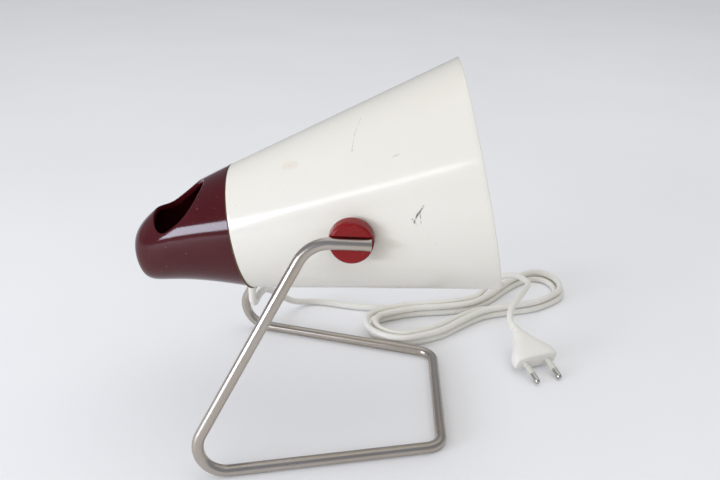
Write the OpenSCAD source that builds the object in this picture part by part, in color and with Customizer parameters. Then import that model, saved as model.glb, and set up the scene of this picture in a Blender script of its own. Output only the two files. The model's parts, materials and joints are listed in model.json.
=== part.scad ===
// Table-top infrared heat lamp.
// A cone-shaped sheet-metal shade with a moulded rear cap and grip hole swings
// between the two ends of a bent wire stand. Millimetres, +Z up, floor at z = 0.
// The lamp shines towards +X; left is +Y and right is -Y.
// The origin is under the middle of the lamp, on the floor.

/* [Shade] */
// Outside diameter at the mouth
mouth_d = 142.5; // [140:0.5:152]
// Outside diameter at the joint with the rear cap
joint_d = 78.5; // [77:0.5:86]
// Length along the axis from joint to mouth
shade_len = 150; // [148:1:165]
// Thickness of the painted sheet
shade_t = 1.2; // [0.8:0.1:1.6]
// Lean of the mouth plane, its top further forward
mouth_lean = 1.4; // [0:0.1:3]
// Lean of the joint plane, its top further forward
joint_lean = 4; // [2:0.1:5]
// Distance along the axis from the joint to the pivot
joint_to_pivot = 72.3; // [70:0.1:76]
// Thickness of the thin ring between shade and cap
ring_t = 0.6; // [0.4:0.1:1]

/* [Rear cap] */
// Length of the cap behind the joint
cap_len = 70; // [68:1:80]
// Wall of the moulded cap
cap_wall = 3; // [2.5:0.1:3.4]
// Fall of the cap's upper line for each millimetre of length
cap_fall_top = 0.225; // [0.2:0.005:0.25]
// Rise of the cap's lower line for each millimetre of length
cap_rise_low = 0.382; // [0.36:0.005:0.4]
// Droop of the nose
nose_droop = 10.7; // [6:0.1:12]
// Turn of the cap about the lamp's axis
cap_turn = 11; // [0:0.5:14]
// Distance from the joint to the front of the grip hole
grip_start = 14.5; // [11:0.1:16]
// Length of the grip hole
grip_len = 36; // [32:0.5:40]
// Width of the grip hole
grip_w = 39; // [34:0.5:46]
// Thickness of the inner wall behind the lampholder
web_t = 2.2; // [1.8:0.1:2.6]

/* [Bulb and lampholder] */
// Largest diameter of the reflector bulb
bulb_d = 121; // [118:0.5:122]
// Length of the reflector bulb
bulb_len = 136; // [134:0.5:137]
// Distance from the mouth back to the front of the bulb
bulb_recess = 11.7; // [11:0.1:12.4]
// Diameter of the bulb's screw base
base_d = 26.2; // [25.8:0.1:26.4]
// Outside diameter of the porcelain lampholder
holder_d = 40; // [38:0.5:42]
// Length of the porcelain lampholder
holder_len = 32; // [30:0.5:33]
// Sheet thickness of the lampholder's bracket
bracket_t = 1.2; // [1:0.1:1.4]
// Outside diameter of the bracket's dish
dish_d = 56; // [54:0.5:58]

/* [Hinge] */
// Height of the pivot above the floor
pivot_h = 143.9; // [138:0.1:150]
// Upward tilt of the head as it stands
head_tilt = 15.4; // [10:0.1:20]
// Diameter of the knob's outer face
knob_face_d = 23.6; // [22:0.1:25]
// Diameter of the knob's inner face
knob_base_d = 25.7; // [25:0.1:27]
// Thickness of the knob
knob_h = 8; // [7.5:0.1:10]
// Clearance between the knob and the shade
knob_clear = 0.35; // [0.3:0.05:0.6]
// Diameter of the friction washer and of the shade's bush
bush_d = 21; // [18:0.5:22]
// Diameter of the bush's neck through the sheet
neck_d = 12; // [10:0.5:13]
// Diameter of the pivot stud
stud_d = 6; // [5:0.1:6.4]
// Radial running clearance of the stud in the bush
stud_run = 0.05; // [0.03:0.01:0.08]
// Thickness of the friction washer
washer_t = 0.6; // [0.4:0.1:1]

/* [Wire stand] */
// Diameter of the wire
wire_d = 7; // [6:0.1:7.6]
// How far the wire's end reaches ahead of the pivot
end_ahead = 11.3; // [9:0.1:12]
// Distance from the pivot back to the upper bend's corner
upper_back = 23.2; // [22:0.1:28]
// Distance from the pivot back to the rear lower corner
rear_back = 97.3; // [90:0.1:105]
// Distance from the middle plane to the rear lower corner
rear_y = 93.4; // [88:0.1:100]
// Distance from the pivot forward to the front cross bar
front_ahead = 60; // [55:0.1:70]
// Distance from the middle plane to the front corner
front_y = 55.1; // [50:0.1:62]
// Radius of the upper bend
bend_top = 20; // [14:0.5:22]
// Radius of the rear lower bend
bend_rear = 18; // [12:0.5:20]
// Radius of the front corner
bend_front = 12; // [8:0.5:14]

/* [Cord and plug] */
// Diameter of the cord
cord_d = 5; // [4.8:0.1:5.2]
// Diameter of the cord gland's sleeve
gland_d = 6.6; // [6.2:0.1:7]
// How far the gland stands out below the cap
gland_out = 3.5; // [3:0.1:5]
// Half the length of the hank along its middle line
hank_half = 100; // [90:1:105]
// Radius of the hank's outermost fold
hank_fold = 26; // [25:0.5:28]
// Step between neighbouring strands
hank_step = 6.8; // [6.7:0.1:7]
// Rise from the lower layer of strands to the upper one
hank_rise = 5.7; // [5.6:0.1:6]
// How far the strands are drawn in at the waist
hank_waist = 13; // [10:0.5:13]
// How far the waist bows away from the line between the lobes
hank_bow = 7; // [4:0.5:8]
// How far the right lobe swings out further
hank_swing = 10; // [6:0.5:11]
// Turns in the hank
hank_turns = 3; // [3:1:3]
// Direction of the hank on the floor
hank_dir = 31; // [28:1:34]
// Width of the plug at its pin face
plug_w = 35; // [34:0.5:36]
// Thickness of the plug
plug_t = 13.7; // [13:0.1:14]
// Length of the plug's body
plug_len = 27; // [26:0.5:28]
// Length of the sleeve behind the plug's body
plug_tail = 8; // [7:0.5:9]
// Diameter of a plug pin
pin_d = 4; // [3.9:0.1:4.1]
// Length of a plug pin
pin_len = 19; // [18.5:0.1:19.5]
// Distance between the pins
pin_gap = 18.6; // [18:0.1:19.2]
// Length of the insulating sleeve on each pin
sleeve_len = 10; // [9:0.5:11]
// Slope of the plug, which leans on its pin tips
plug_tilt = 18; // [16:0.5:20]
// Heading of the plug's pins on the floor
plug_heading = -66; // [-70:1:-62]

/* [Hidden] */
$fn = 96;

// Small clearances between pieces that sit on each other
seat = 0.05;
face_run = 0.05;

// ---- shade: outside radius at a distance x along the axis from the pivot
slope = (mouth_d - joint_d) / 2 / shade_len;
mouth_x = shade_len - joint_to_pivot;
function cone_r(x) = joint_d / 2 + slope * (x + joint_to_pivot);

// ---- cap: rings at a distance b behind the joint
cap_mean = (cap_fall_top + cap_rise_low) / 2;
nose_sharp = 12;
nose_round = 6;
function cap_mid(b) =
  (cap_rise_low - cap_fall_top) / 2 * b - nose_droop * pow(max(b, 0) / cap_len, 3);
function cap_r(b, w) =
  (joint_d / 2 - w - cap_mean * b)
  * pow(1 - pow(max(b, 0) / (cap_len - w), nose_sharp), 1 / nose_round);
function ring_at(f, w) = (cap_len - w) * (1 - pow(1 - f, 2.6));

// ---- hinge stack, measured outward from the middle plane
knob_base_y = cone_r(knob_base_d / 2) + knob_clear;
stand_y = knob_base_y + knob_h;
bush_face_y = knob_base_y - washer_t - face_run;
plate_d = bush_d - 1;
plate_t = 1;
plate_y = cone_r(-plate_d / 2) - shade_t - plate_t;
stack_washer_t = 1.2;
stack_washer_d = 12;
spring_t = 0.8;
spring_h = 1.6;
nut_h = 5;
nut_af = 10;
nut_y = plate_y - face_run - stack_washer_t - spring_h;
stud_end_y = nut_y - nut_h - 2.5;

// ---- wire stand
wire_r = wire_d / 2;
weld_in = 0.3;
weld_step = 0.02;
slot_clear = 0.8;

// ---- bulb and lampholder along the axis
holder_floor = 5;
contact_gap = 1.4;
bulb_front = mouth_x - bulb_recess;
bulb_end = bulb_front - bulb_len;
holder_back = bulb_end - contact_gap - holder_floor;
lens_dome = 6;
lens_band = 8;
glass_t = 1.8;
neck_r = 19;
bowl_span = 60;
rim_x = bulb_front - lens_dome;
bowl_x = rim_x - lens_band;
base_len = 22;
tip_len = 5;
base_x = bulb_end + tip_len;
skirt_len = 17;
skirt_r = 17.5;
shell_t = 0.5;
shell_gap = 0.3;
dish_back = holder_back - bracket_t;
flange_x = -joint_to_pivot + 5;
flange_len = 9;

// ---- web of the cap, at a distance behind the joint
web_b = grip_start - 0.6;
web_x = -joint_to_pivot - web_b;
cap_screw_d = 3.5;
cap_screw_y = holder_d / 2 + cap_screw_d / 2 + 0.45;
holder_screw_z = 11;
holder_screw_d = 3.5;
holder_screw_in = 4;
spacer_r = 4.4;

// ---- cord gland: it points straight down while the head stands at rest
gland_x = -65.6;
gland_tip_z = pivot_h - 61.6;
gland_r = gland_d / 2;
gland_flange_r = 4.6;
gland_flange_t = 1.6;
gland_in = 8;
clamp_h = 3;
clamp_w = 7;
clamp_screw_d = 2;
stub_out = 0.1;

// ---- middle of the lamp along X, which the origin lies under
nose_rings = [for (i = [0:40]) let (b = ring_at(i / 40 * 0.995, 0))
  (-joint_to_pivot - b) * cos(head_tilt) - (cap_mid(b) + cap_r(b, 0)) * sin(head_tilt)];
x_back = min(nose_rings);
mouth_low_x = mouth_x - cone_r(mouth_x) * tan(mouth_lean);
x_front = mouth_low_x * cos(head_tilt) + cone_r(mouth_low_x) * sin(head_tilt);
origin_x = (x_back + x_front) / 2;

// ---- placing
module on_floor() {
  translate([-origin_x, 0, 0]) children();
}
module on_head() {
  translate([-origin_x, 0, pivot_h]) rotate([0, -head_tilt, 0]) children();
}
// turns the Z axis of what it holds to the lamp's axis
module axial() {
  rotate([0, 90, 0]) children();
}
// turns the Z axis of what it holds to +Y
module sideways() {
  rotate([-90, 0, 0]) children();
}
module both_sides() {
  children();
  mirror([0, 1, 0]) children();
}
// a ring or disc about the Y axis between two distances from the middle plane
module disc_y(y0, y1, r, hole = 0) {
  translate([0, y0, 0]) sideways() difference() {
    cylinder(h = y1 - y0, r = r);
    if (hole > 0) translate([0, 0, -1]) cylinder(h = y1 - y0 + 2, r = hole);
  }
}
// everything inside the shade's outer surface moved out by off
module cone_solid(off, x0 = -joint_to_pivot - 8, x1 = mouth_x + 8) {
  axial() rotate_extrude() polygon([
    [0, x0], [cone_r(x0) + off, x0], [cone_r(x1) + off, x1], [0, x1]
  ]);
}
// half space behind (side = -1) or ahead (side = 1) of a plane that leans
module half_space(x, lean, side) {
  translate([x, 0, 0]) rotate([0, lean, 0])
    translate([side > 0 ? 0 : -160, -160, -160]) cube([160, 320, 320]);
}

// ---- shade and its hinge pieces
module shade() {
  color("#dcd6c4") on_head() difference() {
    cone_wall();
    half_space(mouth_x, mouth_lean, 1);
    half_space(-joint_to_pivot, joint_lean, -1);
    translate([0, -120, 0]) sideways() cylinder(h = 240, r = neck_d / 2 + seat);
  }
}
module cone_wall() {
  x0 = -joint_to_pivot - 8;
  x1 = mouth_x + 8;
  axial() rotate_extrude() polygon([
    [cone_r(x0) - shade_t, x0], [cone_r(x0), x0],
    [cone_r(x1), x1], [cone_r(x1) - shade_t, x1]
  ]);
}
module pivot_bush() {
  difference() {
    union() {
      difference() {
        disc_y(cone_r(-bush_d / 2) - 5, bush_face_y, bush_d / 2);
        cone_solid(seat);
      }
      disc_y(plate_y, bush_face_y - 0.4, neck_d / 2);
    }
    disc_y(plate_y - 5, bush_face_y + 5, stud_d / 2 + stud_run);
  }
}
module pivot_bush_left() {
  color("#b9b4a6") on_head() pivot_bush();
}
module pivot_bush_right() {
  color("#b9b4a6") on_head() mirror([0, 1, 0]) pivot_bush();
}
module pivot_plates() {
  color("#9c9a94") on_head() both_sides() difference() {
    intersection() {
      disc_y(plate_y, cone_r(plate_d), plate_d / 2);
      cone_solid(-shade_t - seat);
    }
    disc_y(plate_y - 5, cone_r(plate_d) + 5, neck_d / 2 + seat);
  }
}

// ---- pieces that stay with the wire
module pivot_studs() {
  color("#a8a6a2") on_head() both_sides()
    disc_y(stud_end_y, stand_y - wire_r - seat, stud_d / 2);
}
module friction_washers() {
  color("#4a3a30") on_head() both_sides()
    disc_y(knob_base_y - washer_t, knob_base_y, bush_d / 2, stud_d / 2 + seat);
}
module stack_washers() {
  color("#b0aea8") on_head() both_sides()
    disc_y(plate_y - face_run - stack_washer_t, plate_y - face_run,
           stack_washer_d / 2, stud_d / 2 + seat);
}
module stack_springs() {
  y1 = plate_y - face_run - stack_washer_t;
  ri = stud_d / 2 + 0.2;
  ro = stack_washer_d / 2;
  color("#7f7d78") on_head() both_sides() translate([0, y1 - spring_h, 0]) sideways()
    rotate_extrude() polygon([
      [ri, 0], [ro, spring_h - spring_t], [ro, spring_h], [ri, spring_t]
    ]);
}
module pivot_nuts() {
  color("#b8b6b0") on_head() both_sides() translate([0, nut_y - nut_h, 0]) sideways()
    difference() {
      union() {
        translate([0, 0, 1.2]) cylinder(h = nut_h - 1.2, r = nut_af / 2 / cos(30), $fn = 6);
        cylinder(h = 1.2, r = nut_af / 2 - 0.6);
      }
      translate([0, 0, -1]) cylinder(h = nut_h + 2, r = stud_d / 2 + seat);
    }
}
module knob() {
  difference() {
    translate([0, knob_base_y, 0]) sideways() rotate_extrude() polygon([
      [0, 0], [knob_base_d / 2, 0], [knob_face_d / 2 + 0.3, knob_h - 0.6],
      [knob_face_d / 2 - 0.4, knob_h], [0, knob_h]
    ]);
    disc_y(knob_base_y - 1, stand_y, stud_d / 2 + seat);
    rotate([0, head_tilt, 0])
      translate([-knob_base_d, stand_y - wire_r - seat, -wire_r - slot_clear / 2])
        cube([knob_base_d * 2, wire_d, wire_d + slot_clear]);
  }
}
module knob_left() {
  color("#8c1c22") on_head() knob();
}
module knob_right() {
  color("#8c1c22") on_head() mirror([0, 1, 0]) knob();
}

// ---- bent wire through corner points, each with its own bend radius
function unit(v) = v / norm(v);
function corner_cut(p, q, s, r) =
  r * tan(acos(unit(q - p) * unit(s - q)) / 2);
// a straight reaches a little way into the bends, just below their surface
module wire_run(p, q, in_p, in_q) {
  d = unit(q - p);
  b = acos(d[2]);
  c = atan2(d[1], d[0]);
  translate(p - d * in_p) rotate([0, b, c])
    cylinder(h = norm(q - p) + in_p + in_q, r = wire_r - weld_step);
}
module wire_bend(p, q, s, r) {
  u = unit(q - p);
  v = unit(s - q);
  ang = acos(u * v);
  n = unit(cross(u, v));
  side = cross(n, u);
  start = q - u * corner_cut(p, q, s, r);
  m = [
    [-side[0], u[0], n[0], start[0] + side[0] * r],
    [-side[1], u[1], n[1], start[1] + side[1] * r],
    [-side[2], u[2], n[2], start[2] + side[2] * r],
    [0, 0, 0, 1]
  ];
  multmatrix(m) rotate_extrude(angle = ang) translate([r, 0]) circle(r = wire_r);
}
module stand_wire() {
  half = [
    [end_ahead, stand_y, pivot_h], [-upper_back, stand_y, pivot_h],
    [-rear_back, rear_y, wire_r], [front_ahead, front_y, wire_r]
  ];
  pts = concat(half, [for (i = [3:-1:0]) [half[i][0], -half[i][1], half[i][2]]]);
  rad = [0, bend_top, bend_rear, bend_front, bend_front, bend_rear, bend_top, 0];
  cut = [for (i = [0:7]) (i == 0 || i == 7) ? 0
    : corner_cut(pts[i - 1], pts[i], pts[i + 1], rad[i])];
  color("#a59f98") on_floor() union() {
    for (i = [0:6]) {
      d = unit(pts[i + 1] - pts[i]);
      wire_run(pts[i] + d * cut[i], pts[i + 1] - d * cut[i + 1],
               i == 0 ? 0 : weld_in, i == 6 ? 0 : weld_in);
    }
    for (i = [1:6]) wire_bend(pts[i - 1], pts[i], pts[i + 1], rad[i]);
  }
}

// ---- rear cap: skins lofted through round rings
module cap_skin(w, rings, sides, front) {
  bs = concat([-front], [for (i = [0:rings]) ring_at(i / rings * 0.985, w)]);
  n = len(bs);
  pts = concat(
    [for (b = bs) for (k = [0:sides - 1]) let (a = k * 360 / sides, r = cap_r(b, w))
      [-b, r * cos(a), cap_mid(b) + r * sin(a)]],
    [[front, 0, cap_mid(-front)], [-(cap_len - w), 0, cap_mid(cap_len - w)]]
  );
  faces = concat(
    [for (i = [0:n - 2]) for (k = [0:sides - 1]) let (j = (k + 1) % sides)
      [i * sides + k, i * sides + j, (i + 1) * sides + j]],
    [for (i = [0:n - 2]) for (k = [0:sides - 1]) let (j = (k + 1) % sides)
      [i * sides + k, (i + 1) * sides + j, (i + 1) * sides + k]],
    [for (k = [0:sides - 1]) [n * sides, (k + 1) % sides, k]],
    [for (k = [0:sides - 1]) [n * sides + 1, (n - 1) * sides + k,
      (n - 1) * sides + (k + 1) % sides]]
  );
  translate([-joint_to_pivot, 0, 0]) polyhedron(points = pts, faces = faces);
}
// plan of the grip hole: pointed and round at the front, blunt at the back
module grip_plan() {
  front = 0.62 * grip_len;
  back = grip_len - front;
  hw = grip_w / 2;
  side = concat(
    [for (i = [0:9]) let (t = cos(i * 10))
      [-grip_start - front + front * t, hw * pow(1 - pow(t, 2.6), 1 / 1.6)]],
    [for (i = [1:9]) let (t = sin(i * 10))
      [-grip_start - front - back * t, hw * pow(1 - pow(t, 3), 1 / 3)]]
  );
  n = len(side);
  polygon(concat(side, [for (i = [n - 2:-1:1]) [side[i][0], -side[i][1]]]));
}
module rear_cap() {
  color("#3d1118") on_head() difference() {
    union() {
      rotate([cap_turn, 0, 0]) difference() {
        cap_skin(0, 15, 48, 4);
        cap_skin(cap_wall, 11, 40, 5);
        translate([-joint_to_pivot, 0, 0]) linear_extrude(height = 60) grip_plan();
      }
      web();
      both_sides() translate([web_x - 1, cap_screw_y, 0]) axial()
        cylinder(h = dish_back - web_x + 1 - seat, r = spacer_r);
    }
    half_space(-joint_to_pivot - ring_t, joint_lean, 1);
    both_sides() translate([web_x - 10, cap_screw_y, 0]) axial()
      cylinder(h = 20, r = cap_screw_d / 2 + seat);
    gland_hole();
    gland_place() translate([0, 0, wall_in + 0.4 - seat])
      cylinder(h = 8, r = gland_flange_r + seat);
  }
}
module web() {
  r = cap_r(web_b + web_t, cap_wall) + cap_wall / 2;
  difference() {
    translate([web_x - web_t, 0, cap_mid(web_b)]) axial() cylinder(h = web_t, r = r);
    for (z = [-14:7:14]) translate([web_x - web_t - 1, -8, z - 1]) cube([web_t + 2, 16, 2]);
  }
}
module cap_screws() {
  color("#9a988f") on_head() both_sides() translate([0, cap_screw_y, 0]) {
    translate([web_x - web_t - 2, 0, 0]) axial() cylinder(h = 2, r = cap_screw_d);
    translate([web_x - web_t, 0, 0]) axial()
      cylinder(h = holder_back + 4 - web_x + web_t, r = cap_screw_d / 2);
  }
}
module joint_ring() {
  r1 = cone_r(-joint_to_pivot) + 0.2;
  r0 = r1 - 2.6;
  color("#6b4a2a") on_head() difference() {
    translate([-joint_to_pivot - 8, 0, 0]) axial() difference() {
      cylinder(h = 16, r = r1);
      translate([0, 0, -1]) cylinder(h = 18, r = r0);
    }
    half_space(-joint_to_pivot, joint_lean, 1);
    half_space(-joint_to_pivot - ring_t, joint_lean, -1);
    gland_hole();
  }
}

// ---- lampholder and its bracket
module holder_bracket() {
  xf = flange_x + flange_len;
  xm = flange_x;
  ro = dish_d / 2;
  go = -shade_t - seat;
  color("#aaa79f") on_head() difference() {
    axial() rotate_extrude() polygon([
      [cone_r(xf) + go, xf], [cone_r(xm) + go, xm], [ro, xm], [ro, dish_back],
      [7, dish_back], [7, holder_back], [ro - bracket_t, holder_back],
      [ro - bracket_t, xm + bracket_t], [cone_r(xm) + go - bracket_t, xm + bracket_t],
      [cone_r(xf) + go - bracket_t, xf]
    ]);
    both_sides() translate([dish_back - 1, cap_screw_y, 0]) axial()
      cylinder(h = bracket_t + 2, r = cap_screw_d / 2 + seat);
    for (s = [-1, 1]) translate([dish_back - 1, 0, s * holder_screw_z]) axial()
      cylinder(h = bracket_t + 2, r = holder_screw_d / 2 + seat);
  }
}
module holder_screws() {
  color("#9a988f") on_head() for (s = [-1, 1]) translate([0, 0, s * holder_screw_z]) {
    translate([dish_back - 1.8, 0, 0]) axial() cylinder(h = 1.8, r = 3.2);
    translate([dish_back, 0, 0]) axial()
      cylinder(h = bracket_t + holder_screw_in, r = holder_screw_d / 2);
  }
}
module lampholder() {
  bore = base_d / 2 + shell_gap + shell_t + 0.1;
  color("#e6e2d8") on_head() difference() {
    translate([holder_back, 0, 0]) axial() cylinder(h = holder_len, r = holder_d / 2);
    translate([holder_back + holder_floor, 0, 0]) axial()
      cylinder(h = holder_len, r = bore);
    for (s = [-1, 1]) {
      translate([holder_back - 1, 0, s * holder_screw_z]) axial()
        cylinder(h = holder_screw_in + 1 + 4 * seat, r = holder_screw_d / 2 + seat);
      translate([holder_back - 1, s * 5, 0]) axial()
        cylinder(h = holder_floor + 2, r = 1.2);
    }
  }
}
module holder_shell() {
  ri = base_d / 2 + shell_gap;
  color("#c9a34a") on_head() translate([holder_back + holder_floor, 0, 0]) axial()
    difference() {
      cylinder(h = holder_len - holder_floor - 2, r = ri + shell_t);
      translate([0, 0, 1]) cylinder(h = holder_len, r = ri);
      translate([0, 0, -1]) cylinder(h = 3, r = 8);
    }
}
module holder_contact() {
  color("#c9a34a") on_head() translate([holder_back + holder_floor, 0, 0]) axial()
    cylinder(h = bulb_end - holder_back - holder_floor - seat, r = 4);
}

// ---- reflector bulb
function bowl_r(x, off) = sqrt(max(bowl_span * (x - bowl_vertex), 0)) + off;
bulb_r = bulb_d / 2;
bowl_rim_r = bulb_r - 2;
bowl_vertex = bowl_x - bowl_rim_r * bowl_rim_r / bowl_span;
neck_x = bowl_vertex + neck_r * neck_r / bowl_span;
neck_end = base_x + base_len + skirt_len;
function dome_x(t, h) = rim_x + h * (1 - t * t);
module bulb_lens() {
  ro = bulb_r;
  ri = ro - 3;
  n = 10;
  color("#b3101c") on_head() axial() rotate_extrude() polygon(concat(
    [for (i = [0:n]) [ro * i / n, dome_x(i / n, lens_dome)]],
    [for (i = [n:-1:0]) [ri * i / n, dome_x(i / n, lens_dome - glass_t - 0.2)]]
  ));
}
module bulb_reflector() {
  xs = [for (i = [0:8]) bowl_x + (neck_x - bowl_x) * i / 8];
  outer = concat([[bulb_r, rim_x], [bulb_r, bowl_x + 1]],
    [for (x = xs) [bowl_r(x, 0), x]], [[neck_r, neck_end]]);
  inner = concat([[neck_r - glass_t, neck_end]],
    [for (i = [8:-1:0]) [bowl_r(xs[i], -glass_t), xs[i]]],
    [[bulb_r - 4.5, rim_x]]);
  color("#c9c4bf") on_head() axial() rotate_extrude() polygon(concat(outer, inner));
}
module bulb_base() {
  br = base_d / 2;
  color("#c2b280") on_head() axial() rotate_extrude() polygon([
    [0, base_x], [br - 1, base_x], [br, base_x + 1.5], [br, base_x + base_len],
    [skirt_r - 1, base_x + base_len + 3], [skirt_r, neck_end], [0, neck_end]
  ]);
}
module bulb_contact() {
  color("#3a3a3c") on_head() axial() rotate_extrude() polygon([
    [0, bulb_end], [4.5, bulb_end], [5, bulb_end + 1.2], [base_d / 2 - 3, base_x], [0, base_x]
  ]);
}
coil_len = 20;
coil_r = 1.2;
stem_r = 0.7;
module bulb_filament() {
  coil_x = bowl_vertex + bowl_span / 4;
  color("#8d8478") on_head() {
    translate([coil_x, -coil_len / 2, 0]) sideways() cylinder(h = coil_len, r = coil_r);
    for (s = [-1, 1]) translate([neck_end, s * (coil_len / 2 - 1), 0]) axial()
      cylinder(h = coil_x - neck_end, r = stem_r);
  }
}

// ---- cord gland, inner clamp and leads
module gland_place() {
  translate([0, 0, 0]) rotate([0, head_tilt, 0])
    translate([gland_x, 0, gland_tip_z + gland_out - pivot_h]) children();
}
module gland_hole() {
  gland_place() translate([0, 0, -gland_out - 5]) cylinder(h = 22, r = gland_r + seat);
}
wall_in = cap_wall + 0.9;
module cord_gland() {
  color("#cfc7a8") on_head() gland_place() {
    translate([0, 0, -gland_out]) cylinder(h = gland_out + wall_in + 0.4, r = gland_r);
    translate([0, 0, wall_in + 0.4]) cylinder(h = gland_flange_t, r = gland_flange_r);
  }
}
module cord_clamp() {
  z = wall_in + 0.4 + gland_flange_t;
  color("#d8d4c8") on_head() gland_place() difference() {
    translate([-clamp_w / 2, -9, z]) cube([clamp_w, 18, clamp_h]);
    translate([0, 0, z - 1]) cylinder(h = clamp_h + 2, r = cord_d / 2 + seat);
    for (s = [-1, 1]) translate([-5, s * 6, z + clamp_h / 2]) rotate([0, 90, 0])
      cylinder(h = 10, r = clamp_screw_d / 2 + seat);
  }
}
module clamp_screws() {
  z = wall_in + 0.4 + gland_flange_t + clamp_h / 2;
  color("#9a988f") on_head() gland_place() for (s = [-1, 1]) translate([0, s * 6, z])
    rotate([0, 90, 0]) {
      translate([0, 0, 0.1 - clamp_w / 2]) cylinder(h = clamp_w - 0.1, r = clamp_screw_d / 2);
      translate([0, 0, clamp_w / 2]) cylinder(h = 1.2, r = 1.6);
    }
}

// ---- tubes swept along points: the ring turns with the route, without twist
function tangent(p, i) =
  i == 0 ? unit(p[1] - p[0])
  : i == len(p) - 1 ? unit(p[i] - p[i - 1])
  : unit(unit(p[i + 1] - p[i]) + unit(p[i] - p[i - 1]));
function flat(v, t) = unit(v - t * (v * t));
function frames(p, i, u) =
  i == len(p) ? []
  : let (t = tangent(p, i), w = flat(u, t)) concat([[t, w]], frames(p, i + 1, w));
module tube(p, r, sides, up) {
  f = frames(p, 0, flat(up, tangent(p, 0)));
  n = len(p);
  pts = concat([for (i = [0:n - 1]) for (k = [0:sides - 1])
    let (a = (k + 0.5) * 360 / sides)
      p[i] + r * (f[i][1] * cos(a) + cross(f[i][0], f[i][1]) * sin(a))],
    [p[0], p[n - 1]]);
  faces = concat(
    [for (i = [0:n - 2]) for (k = [0:sides - 1]) let (j = (k + 1) % sides)
      [i * sides + k, (i + 1) * sides + k, (i + 1) * sides + j]],
    [for (i = [0:n - 2]) for (k = [0:sides - 1]) let (j = (k + 1) % sides)
      [i * sides + k, (i + 1) * sides + j, i * sides + j]],
    [for (k = [0:sides - 1]) [n * sides, k, (k + 1) % sides]],
    [for (k = [0:sides - 1]) [n * sides + 1, (n - 1) * sides + (k + 1) % sides,
      (n - 1) * sides + k]]
  );
  polyhedron(points = pts, faces = faces);
}
// smooth points between hand-chosen ones, m to a span
function spline(p, m) = concat(
  [for (i = [0:len(p) - 2]) for (k = [0:m - 1]) let (
    t = k / m,
    a = p[max(i - 1, 0)], b = p[i], c = p[i + 1], d = p[min(i + 2, len(p) - 1)])
      0.5 * (2 * b + (c - a) * t + (2 * a - 5 * b + 4 * c - d) * t * t
        + (3 * b - a - 3 * c + d) * t * t * t)],
  [p[len(p) - 1]]);

// ---- hank: a stadium that spirals in, climbs along a run and spirals out
steps = 24;
hank_centre = [97, 131];
hank_first = -1;
hank_last = hank_turns * steps;
run_half = hank_half - hank_fold;
waist_half = 60;
function hank_off(k) =
  hank_step * (k < hank_last / 2 ? k : hank_last - k) / steps;
function smooth(t) = let (c = min(max(t, 0), 1)) c * c * (3 - 2 * c);
function hank_z(k) =
  cord_d / 2 + hank_rise * smooth((k - hank_last / 2) / 5 + 0.5);
function loop_xy(m, r) =
  m <= 3 ? [run_half * m / 3, r]
  : m <= 9 ? [run_half + r * sin((m - 3) * 30), r * cos((m - 3) * 30)]
  : m <= 15 ? [run_half * (12 - m) / 3, -r]
  : m <= 21 ? [-run_half - r * sin((m - 15) * 30), -r * cos((m - 15) * 30)]
  : [run_half * (m - 24) / 3, r];
function drawn_in(q) =
  abs(q[0]) >= waist_half ? q
  : [q[0], q[1] - sign(q[1]) * hank_waist * (1 + cos(180 * q[0] / waist_half)) / 2];
function bowed(q) = let (t = q[0] / hank_half)
  [q[0], q[1] - hank_bow * (1 - t * t) + (t > 0 ? hank_swing * t * t : 0)];
function to_floor(q, z) = [
  hank_centre[0] + q[0] * cos(hank_dir) - q[1] * sin(hank_dir),
  hank_centre[1] + q[0] * sin(hank_dir) + q[1] * cos(hank_dir), z];
function hank_at(k) = let (m = k - floor(k / steps) * steps)
  to_floor(bowed(drawn_in(loop_xy(m, hank_fold - hank_off(k)))), hank_z(k));
hank_body = [for (k = [hank_first:hank_last]) hank_at(k)];
hank_in_dir = unit(hank_at(hank_first + 1) - hank_at(hank_first - 1));
hank_out_dir = unit(hank_at(hank_last + 1) - hank_at(hank_last - 1));
hank_in = hank_body[0] - hank_in_dir * cord_d;
hank_out = hank_body[len(hank_body) - 1] + hank_out_dir * cord_d;
hank_path = concat([hank_in], hank_body, [hank_out]);

// least gap between strands of the hank, measured on points along its runs
dense = [for (i = [0:len(hank_path) - 2]) for (t = [0:3])
  hank_path[i] + (hank_path[i + 1] - hank_path[i]) * t / 4];
gaps = [for (i = [0:len(dense) - 1]) for (j = [i + 40:1:len(dense) - 1])
  norm(dense[i] - dense[j]) - cord_d];
echo(hank_least_gap = min(gaps));  // cord_hank

// ---- lead: from the gland down, out to the left and along the floor
lead_shape = [
  [-65.6, 0, 82.3], [-65.6, 0, 79.8], [-65.6, 0, 77.4], [-65.6, 0.35, 75],
  [-65.6, 1.4, 72.2], [-65.5, 3.6, 69.3], [-65.4, 7.1, 66.9], [-65.2, 11.5, 66],
  [-64.8, 18.5, 65.6], [-64, 28, 63.8], [-63, 40, 60], [-61.6, 55, 51.8],
  [-59.8, 70, 42.2], [-57.2, 86, 31.4], [-54.4, 101, 20.6], [-51.2, 114, 11.8],
  [-46.6, 124, 6], [-39.5, 130, 3.2], [-30, 131.4, 2.6], [-17, 129, 2.6],
  [-3, 126, 2.6], [13, 124.6, 2.6], [29, 125, 2.6], [45, 128.1, 2.55]
];
lead_fall = (gland_tip_z - cord_d / 2) / (lead_shape[0][2] - 2.5);
lead_points = [for (p = lead_shape)
  [p[0], p[1], cord_d / 2 + (p[2] - 2.5) * lead_fall]];
lead_path = concat(spline(lead_points, 2), [hank_in - hank_in_dir * cord_d, hank_in]);

// ---- plug: it leans on its pin tips
pin_tip = [143, 26];
plug_dir = [cos(plug_tilt) * cos(plug_heading), cos(plug_tilt) * sin(plug_heading),
  -sin(plug_tilt)];
plug_face = [pin_tip[0], pin_tip[1], pin_d / 2 * cos(plug_tilt)] - plug_dir * pin_len;
plug_rear = plug_face - plug_dir * (plug_len + plug_tail);
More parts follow.
